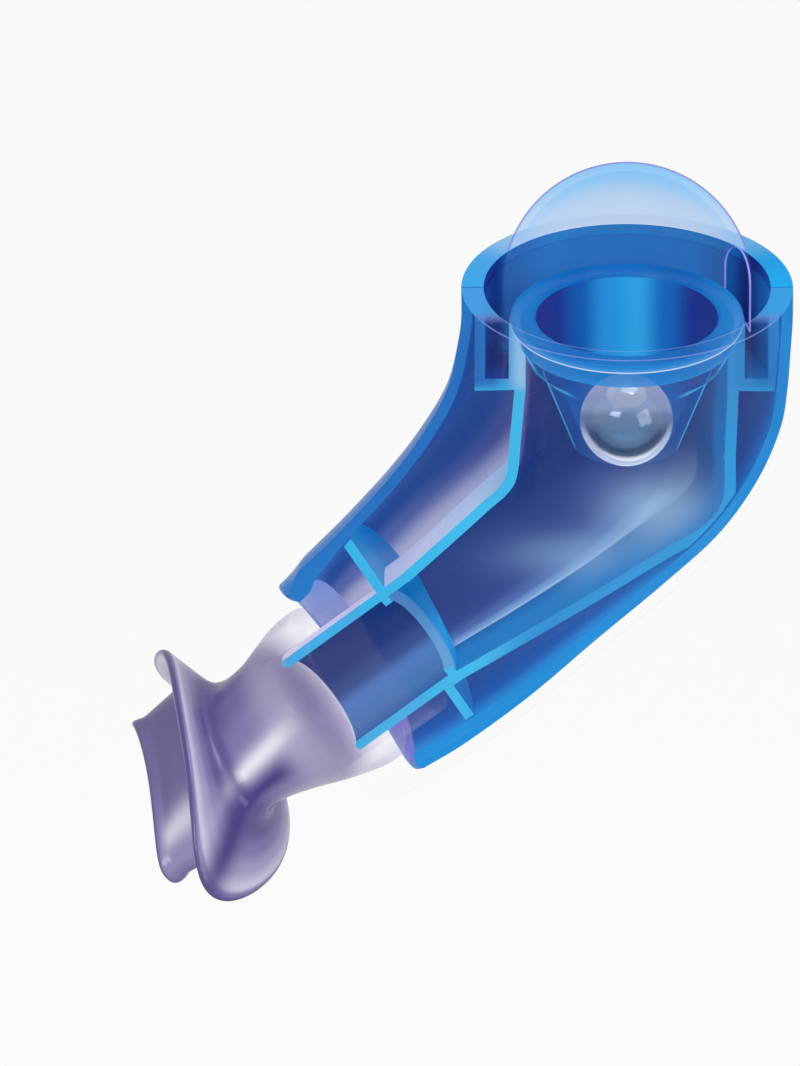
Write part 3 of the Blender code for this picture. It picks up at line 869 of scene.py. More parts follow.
@dataclass(frozen=True)
class PolishedSteel:
    """Bright polished steel with a painted reflection: a pale crown, a dark belt, a bright lip.

    The painted belt and lip follow circles about a point a little over the ball's centre, as the
    drawing has them, so the painted shade is read from the distance to that point in the plane of
    the drawing.
    """

    name: str = "polished_steel"
    centre: float = -26.0
    radius: float = 8.0
    lift: float = 0.17
    roughness: float = 0.06
    painted_belt: Stops = stops(
        (0.0, 150, 180, 204), (0.42, 112, 142, 166), (0.6, 92, 104, 114), (0.7, 46, 42, 46),
        (0.78, 74, 70, 76), (0.86, 240, 240, 244), (1.0, 255, 255, 255))
    painted_crown: Stops = stops(
        (0.0, 120, 126, 130), (0.3, 150, 160, 166), (0.6, 228, 234, 238), (1.0, 252, 252, 252))

    def build(self) -> bpy.types.Material:
        """Return the material."""
        board = Board(self.name)
        up = (0.0, math.sin(VIEW_RISE), math.cos(VIEW_RISE))
        haze = board.node("TexNoise", {"Vector": board.place(), "Scale": 240.0, "Detail": 4.0})
        rough = board.span(haze.outputs["Fac"], 0.4, 0.8, self.roughness, self.roughness * 2.2)
        off = board.vector("SUBTRACT", board.place(), (0.0, 0.0, self.centre * MM))
        high = board.vector("DOT_PRODUCT", off, up, out="Value")
        high = board.math("DIVIDE", high, self.radius * MM)
        side = board.node("SeparateXYZ", {0: off}).outputs["X"]
        side = board.math("DIVIDE", side, self.radius * MM)
        rise = board.math("SUBTRACT", high, self.lift)
        apart = board.math("SQRT", board.math("ADD", board.math("MULTIPLY", side, side),
                                              board.math("MULTIPLY", rise, rise)))
        # Painted reflection: the dark belt and bright lip below, the pale crown above.
        lower = board.ramp(board.math("MULTIPLY", apart, 0.88), self.painted_belt)
        painted_crown = board.ramp(board.span(high, -0.45, 1.0), self.painted_crown)
        colour = board.mix(board.span(high, -0.35, 0.1), lower, painted_crown)
        # The painted reflection lies on real metal reflection, and some colour is given off as
        # emission, a painted glow.
        return board.finish(board.glowing(colour, 0.6, 0.6, {"Metallic": 1.0, "Roughness": rough}))


@dataclass(frozen=True)
class LavenderPlastic:
    """Lavender plastic: violet where it is seen edge on, painted light in the lobes, clear at the
    socket.

    Attributes:
        name: Material name.
        inside: Whether it lines the bore, where it is darker and not streaked.
        clear_from: Place along the tube where it starts to clear.
        clear_to: Place where it is clearest.
        socket_share: Share of colour left at the socket.
        painted: Long patches of painted shade and highlight, each as (place round the barrel, width
            and weight), where along the tube it fades in, where it fades out, and its colour.
    """

    name: str
    inside: bool = False
    clear_from: float = -6.0
    clear_to: float = 4.0
    socket_share: float = 0.02
    painted: tuple = (
        ((0.236, 0.036, 1.0), (-3.0, -8.5), (-19.0, -16.5), srgb(74, 58, 128)),
        ((0.34, 0.05, 0.55), (4.0, -3.0), (-15.0, -9.0), srgb(198, 190, 220)),
        ((0.17, 0.022, 1.0), (4.0, -1.0), (-17.5, -14.5), srgb(246, 244, 252)),
        ((0.135, 0.036, 0.9), (-21.0, -24.0), (-31.0, -28.5), srgb(230, 226, 242)))

    def build(self) -> bpy.types.Material:
        """Return the material."""
        board = Board(self.name)
        station = board.row_value("station")
        facing = board.facing()
        colour = board.ramp(facing, stops(
            (0.0, 162, 152, 196), (0.25, 140, 130, 180), (0.5, 116, 104, 160),
            (0.75, 90, 76, 140), (1.0, 66, 52, 118)))
        if self.inside:
            colour = board.mix(0.5, colour, srgb(108, 94, 158))
        else:
            colour = self.with_painted_light_and_shade(board, colour, station)
        milky = board.span(station, self.clear_from - 4.0, self.clear_to, 0.0, 0.85)
        colour = board.mix(milky, colour, srgb(214, 208, 232))
        share = board.span(station, self.clear_from, self.clear_to, 0.94, self.socket_share)
        if not self.inside:
            side = board.math("MULTIPLY", board.span(facing, 0.3, 0.8), 0.5)
            fade = board.span(station, 9.0, 2.0, 0.25, 1.0)
            share = board.math("MAXIMUM", share, board.math("MULTIPLY", side, fade))
        # It also gives off some of its colour as emission, a painted glow.
        shader = board.glowing(colour, 0.72, 0.28, {
            "Roughness": 0.2, "IOR": 1.47, "Coat Weight": 0.3, "Coat Roughness": 0.12,
            "Specular IOR Level": 0.2, "Normal": board.grain(700.0, 0.04)})
        return board.finish(board.veil(share, shader, (0.98, 0.975, 1.0, 1.0)))

    def with_painted_light_and_shade(self, board: Board, colour: Socket, station: Socket) -> Socket:
        """Return the colour with painted light and shade: the barrel's highlight streaks and dark
        band, dark roots and pale lobes.

        Args:
            board: The material's board.
            colour: The colour so far.
            station: Place along the tube.

        Returns:
            The new colour.
        """
        lobe = board.row_value("lobe")
        # Painted shade at the lobe's root and outer edge, painted light across its middle.
        face = board.ramp(lobe, stops(
            (0.0, 84, 70, 134), (0.2, 108, 96, 152), (0.45, 142, 134, 184),
            (0.7, 182, 176, 212), (0.9, 224, 220, 240), (0.97, 128, 114, 172),
            (1.0, 72, 58, 124)))
        colour = board.mix(board.span(lobe, 0.02, 0.2, 0.0, 0.8), colour, face)
        round_it = board.around()
        # Painted shade and highlights on the barrel: a dark band under its edge, pale and white
        # streaks.
        for bell, rise, fall, shade in self.painted:
            ends = board.math("MULTIPLY", board.span(station, *rise), board.span(station, *fall))
            share = board.math("MULTIPLY", board.bell(round_it, *bell), ends)
            colour = board.mix(share, colour, shade)
        # Painted shade in the creases at the shield's roots.
        root = board.math("MAXIMUM", board.bell(station, -15.2, 1.4, 0.75),
                          board.bell(station, -20.2, 1.0, 0.7))
        painted_root_shade = board.math("MULTIPLY", root, board.math("SUBTRACT", 1.0, lobe))
        colour = board.mix(painted_root_shade, colour, srgb(82, 66, 136))
        # Painted shade along the rolled end of the bite tip.
        return board.mix(board.bell(station, -31.8, 0.7, 0.75), colour, srgb(74, 60, 124))


Finish = MouldedPlastic | ClearPlastic | RimLines | VentLine | PolishedSteel | LavenderPlastic


# Pieces


def give(item: bpy.types.Object, *finishes: Finish) -> None:
    """Give a piece its finishes in slot order."""
    for finish in finishes:
        item.data.materials.append(finish.build())


@dataclass
class OuterShell:
    """One half of the blue outer shell: bent tube, flat rim and open lower end."""

    side: Side
    form: BodyForm
    columns: int = 65
    lip_steps: int = 7
    flare: float = 6.0
    flare_rows: int = 9
    order: tuple[Zone, ...] = (Zone.OUTSIDE, Zone.INSIDE, Zone.CUT, Zone.RIM, Zone.FLOW,
                               Zone.FUNNEL)

    def loop(self) -> Loop:
        """Return the sections round the wall: outside, end lip, inside, rim."""
        outer = self.form.shell()
        inner = self.form.shell_room()
        arc = np.linspace(0.0, math.pi, self.lip_steps + 2)[1:-1]
        end = outer.part(slice(-1, None))
        down = -InletAxis().along
        half = (self.form.shell_wall + self.form.end_wall[-1]) / 2
        bulge = self.form.shell_wall / 2
        lip = [end.shrunk(half * (1 - math.cos(a)), down * bulge * math.sin(a)) for a in arc]
        below = inner.left[:, 1] < -self.form.lip_height - 0.6
        ledge = self.form.shell_depth[0] - self.form.shell_wall
        rim = Sections.level([ledge, self.form.lip_radius, self.form.lip_radius],
                             [-self.form.lip_height, -self.form.lip_height, 0.0])
        made = Loop()
        made.add(Zone.OUTSIDE, outer)
        made.add(Zone.OUTSIDE, Sections.joined(lip[:3]))
        made.add(Zone.FUNNEL, Sections.joined(lip[3:]))
        made.add(Zone.INSIDE, inner.part(below).backwards())
        made.add(Zone.FLOW, rim.part(slice(0, 2)))
        made.add(Zone.RIM, rim.part(slice(2, 3)))
        return made

    def flared(self, points: np.ndarray) -> np.ndarray:
        """Return the points with the open end drawn out along the tube, away from the cut faces.

        The draw is the flare times the square root of sin a over the half turn, full on the outer
        edge of the end lip.  It fades over the last rows of the outside and across the lip.
        """
        outer = len(self.form.shell().depth)
        weight = np.zeros(len(points))
        weight[outer - self.flare_rows:outer] = np.linspace(0.0, 1.0, self.flare_rows) ** 2
        across = np.linspace(0.0, 1.0, self.lip_steps + 2)[1:-1]
        weight[outer:outer + self.lip_steps] = 1.0 - across ** 2
        turn = np.linspace(0.0, math.pi, self.columns)
        draw = self.flare * weight[:, None] * np.sqrt(np.abs(np.sin(turn)))[None, :]
        draw[:, [0, -1]] = 0.0
        along = np.array([InletAxis().along[0], 0.0, InletAxis().along[1]])
        return points - draw[..., None] * along

    def build(self) -> bpy.types.Object:
        """Return the finished half."""
        loop = self.loop()
        points = half_points(loop.sections(), self.side, self.form.half_cut, self.columns)
        points = self.flared(points)
        name = "outer_shell_" + self.side.name.lower()
        item = surface_object(name, Patch(points, loop.zones), self.order, caps=True)
        self.dress(item)
        soften_edges(item, 0.18)
        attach(item, "body")
        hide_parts("shell_" + self.side.name.lower())
        return item

    def dress(self, item: bpy.types.Object) -> None:
        """Give the half its finishes in slot order."""
        if self.side is Side.FRONT:
            clear = near_half_finish("near_shell_clear").build()
            for finish in (clear, clear, clear, RimLines().build(), clear, clear):
                item.data.materials.append(finish)
            return
        azure = MouldedPlastic("shell_azure", Wash(stops(
            (0.0, 30, 138, 214), (0.35, 30, 124, 206), (1.0, 28, 104, 190)),
            UP, -95.0, 0.0), glow=0.3, coat=0.3, shine=0.3)
        # Inside the shell: painted shade, navy in the cavity, with a painted pale highlight streak
        # about halfway round.
        lower = Wash(stops(
            (0.0, 29, 138, 210), (0.16, 28, 104, 188), (0.27, 36, 84, 164),
            (0.34, 104, 120, 186), (0.42, 205, 205, 232), (0.5, 150, 160, 210),
            (0.8, 50, 86, 160), (0.92, 36, 96, 180), (1.0, 40, 140, 214)))
        upper = Wash(stops(
            (0.0, 24, 80, 162), (0.2, 24, 78, 158), (0.3, 42, 82, 156), (0.37, 78, 92, 162),
            (0.46, 186, 190, 224), (0.8, 58, 74, 150), (0.9, 50, 92, 165), (1.0, 38, 118, 198)))
        jacket = MouldedPlastic("jacket_inside", lower, upper, -62.0, -40.0, roughness=0.25)
        # Painted shade: navy toward both cut faces of the ledge, azure round the back.
        lip = Wash(stops(
            (0.0, 23, 50, 139), (0.14, 26, 44, 130), (0.2, 14, 102, 186), (0.34, 23, 127, 204),
            (0.66, 20, 124, 201), (0.76, 16, 104, 184), (0.84, 26, 38, 118), (1.0, 30, 80, 160)))
        ledge = MouldedPlastic("lip_inside", lip, roughness=0.25)
        cut = MouldedPlastic("shell_cut_face", Wash(stops(
            (0.0, 34, 118, 196), (0.3, 34, 112, 194), (0.4, 36, 122, 202), (0.55, 34, 136, 210),
            (0.8, 34, 138, 212), (1.0, 24, 144, 220)),
            (0.629, 0.0, -0.777), -18.0, 51.0), roughness=0.4)
        # Painted highlight: the rim top pales to near white round the back, cyan at the cut faces.
        rim = MouldedPlastic("rim_top", Wash(stops(
            (0.0, 52, 168, 234), (0.12, 66, 160, 226), (0.26, 150, 194, 232),
            (0.36, 220, 232, 246), (0.64, 222, 234, 246), (0.76, 110, 180, 232),
            (0.88, 16, 160, 230), (1.0, 12, 166, 234))), roughness=0.35, glow=0.5)
        flare = MouldedPlastic("open_end_lip", Wash(stops(
            (0.0, 70, 140, 210), (0.12, 120, 150, 220), (0.35, 150, 170, 230),
            (0.5, 160, 176, 232), (0.75, 140, 140, 216), (1.0, 120, 124, 208))),
            roughness=0.3)
        give(item, azure, jacket, cut, rim, ledge, flare)


def near_half_finish(name: str) -> ClearPlastic:
    """Return the finish of the near halves, clear but for a faint lavender edge."""
    return ClearPlastic(name, Wash(stops(
        (0.0, 190, 196, 240), (1.0, 190, 196, 240))),
                        edge=srgb(150, 150, 225), far_share=0.0, near_share=0.0, edge_share=0.12,
                        edge_from=0.9, edge_to=0.98, gloss=0.002)


@dataclass
class Airway:
    """One half of the airway: inlet tube, web, bent duct, spigot and cap groove, as one wall."""

    side: Side
    form: BodyForm
    inlet: InletAxis
    columns: int = 65
    inlet_outer: float = 11.0
    inlet_bore: float = 9.25
    ridge_bore: float = 7.95
    inlet_length: float = 22.0
    ridge_length: float = 1.5
    shoulder: tuple[float, float] = (27.4, 22.95)
    crease: float = 1.9
    crease_from: float = 52.0
    crease_over: float = 8.0
    tube_edge: float = 0.5
    tube_bevel: float = 0.6
    web_depth: float = 20.4
    room_rows: int = 240
    groove_outer: float = 24.4
    groove_wall: float = 1.75
    groove_floor: float = -17.7
    groove_taper: tuple = ((0.0, -10.0), (0.1, -14.0), (0.3, -20.0))
    spigot_outer: float = 20.3
    spigot_inner: float = 18.7
    spigot_top: float = -7.0
    seat_top: float = -10.0
    seat_bottom: float = -12.8
    order: tuple[Zone, ...] = (Zone.OUTSIDE, Zone.INSIDE, Zone.CUT, Zone.RIM, Zone.FLOW,
                               Zone.FUNNEL, Zone.RIDGE, Zone.WEB, Zone.LIP)

    def web_sections(self, outer_duct: Sections) -> Sections:
        """Return the web's four edges: duct side, shell side twice, and tube side."""
        foot, head = np.array(self.form.web_foot), np.array(self.form.web_head)
        lean = (head - foot) / np.linalg.norm(head - foot)
        normal = np.array([lean[1], -lean[0]])
        room = self.form.shell_room(self.form.gap, self.room_rows)
        half = self.form.web_thickness / 2
        edges = []
        for offset, duct_side in ((half, True), (half, None), (-half, None), (-half, False)):
            spot = (foot + head) / 2 + normal * offset
            if duct_side is None:
                left = where_outline_meets(room.left, spot, normal)
                right = where_outline_meets(room.right, spot, normal)
                depth, square = self.web_depth, 2.0
            elif duct_side:
                left = cross(outer_duct.left[-1], self.inlet.along, spot, normal)
                right = cross(outer_duct.right[-1], self.inlet.along, spot, normal)
                depth, square = float(outer_duct.depth[-1]), self.form.duct_square[-1]
            else:
                ends = self.inlet.rings([(0.0, self.inlet_outer)])
                left = cross(ends.left[0], self.inlet.along, spot, normal)
                right = cross(ends.right[0], self.inlet.along, spot, normal)
                depth, square = self.inlet_outer, 2.0
            edges.append(Sections.of([left], [right], [depth], [square]))
        return Sections.joined(edges)

    def loop(self) -> Loop:
        """Return the sections round the wall, from the groove's underside down and back up."""
        room = self.form.shell_room(self.form.gap, self.room_rows)
        run = np.gradient(room.right, axis=0)
        inward = np.column_stack([run[:, 1], -run[:, 0]])
        inward /= np.linalg.norm(inward, axis=1, keepdims=True)
        outer = self.form.duct(-self.form.duct_wall)
        outer.right = kept_inside(outer.right, room.right, inward)
        inner = self.form.duct()
        lower = np.clip((-inner.right[:, 1] - self.crease_from) / self.crease_over, 0.0, 1.0)
        inner.square = 2.0 + (inner.square - 2.0) * (1.0 + (self.crease - 1.0) * lower)
        end_left, end_right = self.shoulder
        neck = self.inlet.rings([(end_left, self.inlet_bore)])
        neck.right = self.inlet.rings([(end_right, self.inlet_bore)]).right
        start = self.inlet_length - self.ridge_length / 2
        stop = self.inlet_length + self.ridge_length / 2
        tube = self.inlet.rings([(self.tube_edge, self.inlet_outer),
                                 (0.0, self.inlet_outer - self.tube_edge),
                                 (0.0, self.inlet_bore + self.tube_bevel),
                                 (self.tube_bevel, self.inlet_bore)])
        bore = self.inlet.rings([(start, self.inlet_bore), (start, self.ridge_bore),
                                 (stop, self.ridge_bore), (stop, self.inlet_bore)])
        wall = self.groove_outer + self.groove_wall
        top = -self.form.lip_height - self.form.gap
        insets, depths = zip(*self.groove_taper)
        head = Sections.level(
            [self.form.duct_depth[0], self.spigot_inner, self.spigot_inner, self.spigot_outer,
             self.spigot_outer, self.groove_outer, self.groove_outer, wall,
             *(wall - inset for inset in insets)],
            [self.seat_bottom, self.seat_top, self.spigot_top, self.spigot_top,
             self.groove_floor, self.groove_floor, top, top, *depths])
        head.left[-2:, 0] = -wall
        head.right = kept_inside(head.right, room.right, inward)
        made = Loop()
        made.add(Zone.OUTSIDE, outer)
        web = self.web_sections(outer)
        made.add(Zone.WEB, web.part(slice(0, 3)))
        made.add(Zone.OUTSIDE, web.part(slice(3, 4)))
        made.add(Zone.OUTSIDE, tube.part(slice(0, 2)))
        made.add(Zone.LIP, tube.part(slice(2, 3)))
        made.add(Zone.FLOW, tube.part(slice(3, 4)))
        made.add(Zone.RIDGE, bore.part(slice(0, 3)))
        made.add(Zone.FUNNEL, bore.part(slice(3, 4)))
        made.add(Zone.FUNNEL, neck)
        made.add(Zone.INSIDE, inner.backwards())
        made.add(Zone.INSIDE, head.part(slice(0, 3)))
        made.add(Zone.RIM, head.part(slice(3, 7)))
        made.add(Zone.OUTSIDE, head.part(slice(7, None)))
        return made

    def build(self) -> bpy.types.Object:
        """Return the finished half."""
        loop = self.loop()
        points = half_points(loop.sections(), self.side, self.form.half_cut, self.columns)
        name = "airway_" + self.side.name.lower() + "_half"
        item = surface_object(name, Patch(points, loop.zones), self.order, caps=True)
        self.dress(item)
        soften_edges(item, 0.15)
        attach(item, "body")
        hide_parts("airway_" + self.side.name.lower())
        return item

    def dress(self, item: bpy.types.Object) -> None:
        """Give the half its finishes in slot order."""
        if self.side is Side.FRONT:
            clear = near_half_finish("near_airway_clear").build()
            for _ in self.order:
                item.data.materials.append(clear)
            return
        tube = (float(self.inlet.along[0]), 0.0, float(self.inlet.along[1]))
        start = float(self.inlet.along @ np.asarray(self.inlet.tip))
        # Painted highlight: pale lavender-white along the tube and lower duct, fading to blue
        # further along.
        outside = MouldedPlastic("airway_outside", Wash(stops(
            (0.0, 232, 222, 240), (0.26, 226, 218, 240), (0.36, 196, 204, 238),
            (0.45, 206, 212, 242), (0.62, 190, 212, 242), (0.8, 150, 196, 232),
            (1.0, 60, 110, 180)), tube, start, start + 70.0), roughness=0.25, glow=0.55)
        web = MouldedPlastic("web_face", Wash(stops(
            (0.0, 40, 140, 205), (0.2, 6, 126, 202), (0.4, 20, 118, 196), (0.5, 90, 130, 200),
            (1.0, 36, 120, 196))), roughness=0.25)
        # Painted shade and light in the duct: navy on the far wall, a pale highlight at its lower
        # corner over the floor, and painted highlights in the bend.
        lower = Wash(stops(
            (0.0, 30, 70, 140), (0.3, 27, 62, 132), (0.4, 31, 57, 130), (0.5, 48, 70, 142),
            (0.6, 84, 112, 178), (0.68, 122, 160, 212), (0.745, 150, 186, 228),
            (0.76, 44, 108, 176), (0.85, 40, 122, 192), (1.0, 40, 134, 206)))
        upper = Wash(stops(
            (0.0, 112, 112, 172), (0.07, 100, 96, 160), (0.13, 46, 62, 134),
            (0.35, 30, 57, 130), (0.5, 48, 66, 140), (0.72, 50, 76, 146), (0.82, 46, 90, 160),
            (0.88, 42, 124, 196), (1.0, 40, 122, 194)))
        duct = MouldedPlastic("duct_inside", lower, upper, -56.0, -34.0, gleams=(
            Gleam((7.0, 11.0, -48.5), (10.0, 8.0, 5.5), srgb(168, 204, 238), 0.75),
            Gleam((-8.0, 10.0, -57.0), (12.0, 5.0, 4.0), srgb(150, 190, 230), 0.5)), roughness=0.25)
        lower_cut = Wash(stops(
            (0.0, 56, 184, 238), (0.5, 66, 190, 240), (0.66, 48, 148, 216), (1.0, 48, 156, 222)),
                         (1.0, 0.0, -0.35), -34.0, 30.0)
        upper_cut = Wash(stops(
            (0.0, 34, 112, 190), (0.06, 37, 119, 196), (0.1, 60, 160, 222),
            (0.15, 150, 204, 240), (0.2, 96, 190, 238), (0.8, 48, 150, 218),
            (0.9, 44, 140, 212), (0.94, 36, 126, 200), (1.0, 36, 126, 200)),
                         RIGHT, -26.2, 26.2)
        cut = MouldedPlastic("airway_cut_face", lower_cut, upper_cut, -21.0, -18.0, roughness=0.4)
        # Painted shade: navy toward both cut faces of the groove, azure round the back.
        groove = MouldedPlastic("groove_inside", Wash(stops(
            (0.0, 30, 60, 148), (0.12, 24, 46, 124), (0.2, 16, 97, 178), (0.33, 17, 118, 199),
            (0.64, 17, 114, 194), (0.75, 20, 92, 170), (0.82, 22, 38, 115), (0.92, 28, 90, 165),
            (1.0, 30, 110, 182))),
            roughness=0.25)
        # Painted shade in the bore: navy round the upper side, lighter round the lower side.
        bore = Wash(stops(
            (0.0, 22, 52, 124), (0.25, 24, 54, 126), (0.5, 36, 63, 135), (0.62, 62, 88, 152),
            (0.72, 88, 134, 200), (0.84, 82, 132, 194), (1.0, 56, 108, 178)))
        flow = MouldedPlastic("inlet_bore", bore, roughness=0.25)
        funnel = MouldedPlastic("inlet_shoulder", Wash(stops(
            (0.0, 66, 184, 240), (0.1, 17, 118, 189), (0.3, 13, 115, 190), (0.5, 33, 131, 207),
            (0.65, 43, 154, 223), (1.0, 38, 153, 224))),
            roughness=0.25)
        ridge = MouldedPlastic("inlet_ridge", Wash(stops(
            (0.0, 90, 150, 210), (0.4, 84, 146, 208), (1.0, 120, 180, 228))),
            roughness=0.25)
        # Painted highlight: the tube's end bevel near white.
        lip = MouldedPlastic("tube_lip", Wash(stops(
            (0.0, 70, 180, 236), (0.15, 200, 214, 240), (0.5, 236, 240, 252),
            (1.0, 238, 242, 252))),
                             roughness=0.25)
        give(item, outside, duct, cut, groove, flow, funnel, ridge, web, lip)


@dataclass
class BallSeat:
    """The drop-in seat: flange, stepped collar and conical bowl."""

    ball_radius: float = 8.0
    wall: float = 1.6
    bottom: float = -29.7
    bowl_mouth: float = -9.0
    lip_height: float = 0.5
    lip: float = 0.12
    flange: float = 20.0
    flange_thickness: float = 1.5
    under: float = -6.7
    collar: float = 18.4
    step: float = 1.25
    mouth_wall: float = 2.2
    mouth_edge: float = 1.0
    mouth_bevel: tuple[float, float] = (0.51, 0.6)
    bevel: float = 0.3
    collar_foot: float = -10.1
    step_heights: tuple[float, float] = (-12.7, -13.2)
    bowl_shoulder: float = -15.6
    columns: int = 160

    def half_angle(self) -> float:
        """Return the bowl's half angle: its side runs from the ball's circle to the mouth."""
        mouth = self.collar - self.mouth_wall - self.mouth_edge
        rise = self.bowl_mouth - self.bottom - self.lip_height
        angle = math.atan2(mouth - self.ball_radius, rise)
        for _ in range(12):
            angle = math.atan2(mouth - self.ball_radius * math.cos(angle), rise)
        return angle

    def profile(self) -> np.ndarray:
        """Return the closed profile (radius, z), round from the flange's outer top."""
        angle = self.half_angle()
        slope = math.tan(angle)
        inner = self.ball_radius * math.cos(angle)
        outer = inner + self.wall / math.cos(angle)
        top = self.under + self.flange_thickness
        foot = self.bottom
        lip_top = foot + self.lip_height
        mouth = self.collar - self.mouth_wall
        step = self.collar - self.step
        inset, drop = self.mouth_bevel
        return np.array([(self.flange - self.bevel, top), (self.flange, top - self.bevel),
                         (self.flange, self.under), (self.collar, self.under),
                         (self.collar, self.collar_foot),
                         *((step, height) for height in self.step_heights),
                         (outer + slope * (self.bowl_shoulder - foot), self.bowl_shoulder),
                         (outer, foot),
                         (inner - self.lip, foot), (inner - self.lip, lip_top), (inner, lip_top),
                         (inner + slope * (self.bowl_mouth - lip_top), self.bowl_mouth),
                         (mouth - inset, top - drop), (mouth, top)])

    def build(self) -> bpy.types.Object:
        """Return the finished seat."""
        profile = self.profile()
        zones = [Zone.CUT] * 4 + [Zone.OUTSIDE] * 5 + [Zone.INSIDE] * 4 + [Zone.RIM] * 2
        patch = Patch(turned_points(profile, self.columns), zones, closed_columns=True)
        order = [Zone.OUTSIDE, Zone.INSIDE, Zone.RIM, Zone.CUT]
        item = surface_object("ball_seat", patch, order, caps=False, sharp=20.0)
        self.dress(item)
        soften_edges(item, 0.12)
        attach(item, "body")
        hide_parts("ball_cone")
        return item

    def dress(self, item: bpy.types.Object) -> None:
        """Give the seat its finishes in slot order."""
        outside = ClearPlastic("seat_outside", Wash(stops(
            (0.0, 20, 112, 196), (0.5, 22, 84, 168), (1.0, 24, 70, 150)),
            UP, -30.0, -6.0), edge=srgb(70, 172, 226), far_share=0.85, near_share=0.5,
            edge_share=0.8, edge_from=0.8, edge_to=0.88, turn=7.0, rise=(-28.0, -14.0), least=0.25,
            edge_fades=False)
        # Painted light and shade in the bowl: a cyan glow behind the ball in the middle, navy
        # toward the sides.
        bowl = ClearPlastic("seat_bowl", Wash(stops(
            (0.0, 42, 36, 128), (0.1, 34, 50, 140), (0.24, 22, 92, 176), (0.4, 38, 150, 220),
            (0.56, 48, 168, 230), (0.72, 24, 104, 188), (0.88, 32, 50, 138), (1.0, 36, 40, 128)),
            RIGHT, -15.5, 15.5),
            edge=srgb(30, 110, 195), far_share=0.97, near_share=0.1, edge_share=0.3, edge_from=0.9,
            edge_to=0.98, turn=3.0)
        rim = ClearPlastic("seat_rim", Wash(stops(
            (0.0, 18, 122, 202), (0.3, 12, 104, 188), (0.5, 18, 110, 194), (0.75, 14, 98, 180),
            (1.0, 20, 132, 208)), RIGHT, -20.0, 20.0),
            edge=srgb(60, 160, 228), far_share=0.97, near_share=0.9, edge_share=0.9,
            edge_from=0.95, edge_to=1.0)
        # Painted highlight: a thin near-white line along the flange's under edge.
        edge = ClearPlastic("seat_edge", Wash(stops(
            (0.0, 36, 136, 212), (0.3, 28, 124, 204), (0.64, 34, 132, 210),
            (0.69, 226, 240, 252), (0.75, 34, 140, 218), (0.93, 26, 128, 208),
            (1.0, 20, 110, 196)), UP, -10.1, -5.1),
            edge=srgb(60, 160, 228), far_share=0.9, near_share=0.92, edge_share=0.9,
            edge_from=0.95, edge_to=1.0)
        give(item, outside, bowl, rim, edge)


@dataclass
class SteelBall:
    """The loose steel ball, seated in the cone."""

    radius: float = 8.0
    rows: int = 48
    columns: int = 96

    def build(self) -> bpy.types.Object:
        """Return the finished ball.

        The surface is radius * (sin a cos b, sin a sin b, cos a) about the seated centre, its poles
        closed by merging their rows.
        """
        low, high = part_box("steel_ball")
        centre = (np.array(low) + np.array(high)) / 2 / MM
        fall = np.linspace(0.0, math.pi, self.rows + 1)
        profile = np.column_stack([self.radius * np.sin(fall), self.radius * np.cos(fall)])
        profile[[0, -1], 0] = 0.0
        points = turned_points(profile, self.columns) + centre
        patch = Patch(points, [Zone.OUTSIDE] * len(profile), closed_rows=False, closed_columns=True)
        item = surface_object("steel_ball_polished", patch, [Zone.OUTSIDE], caps=False, sharp=60.0)
        give(item, PolishedSteel())
        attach(item, "ball")
        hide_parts("steel_ball")
        return item


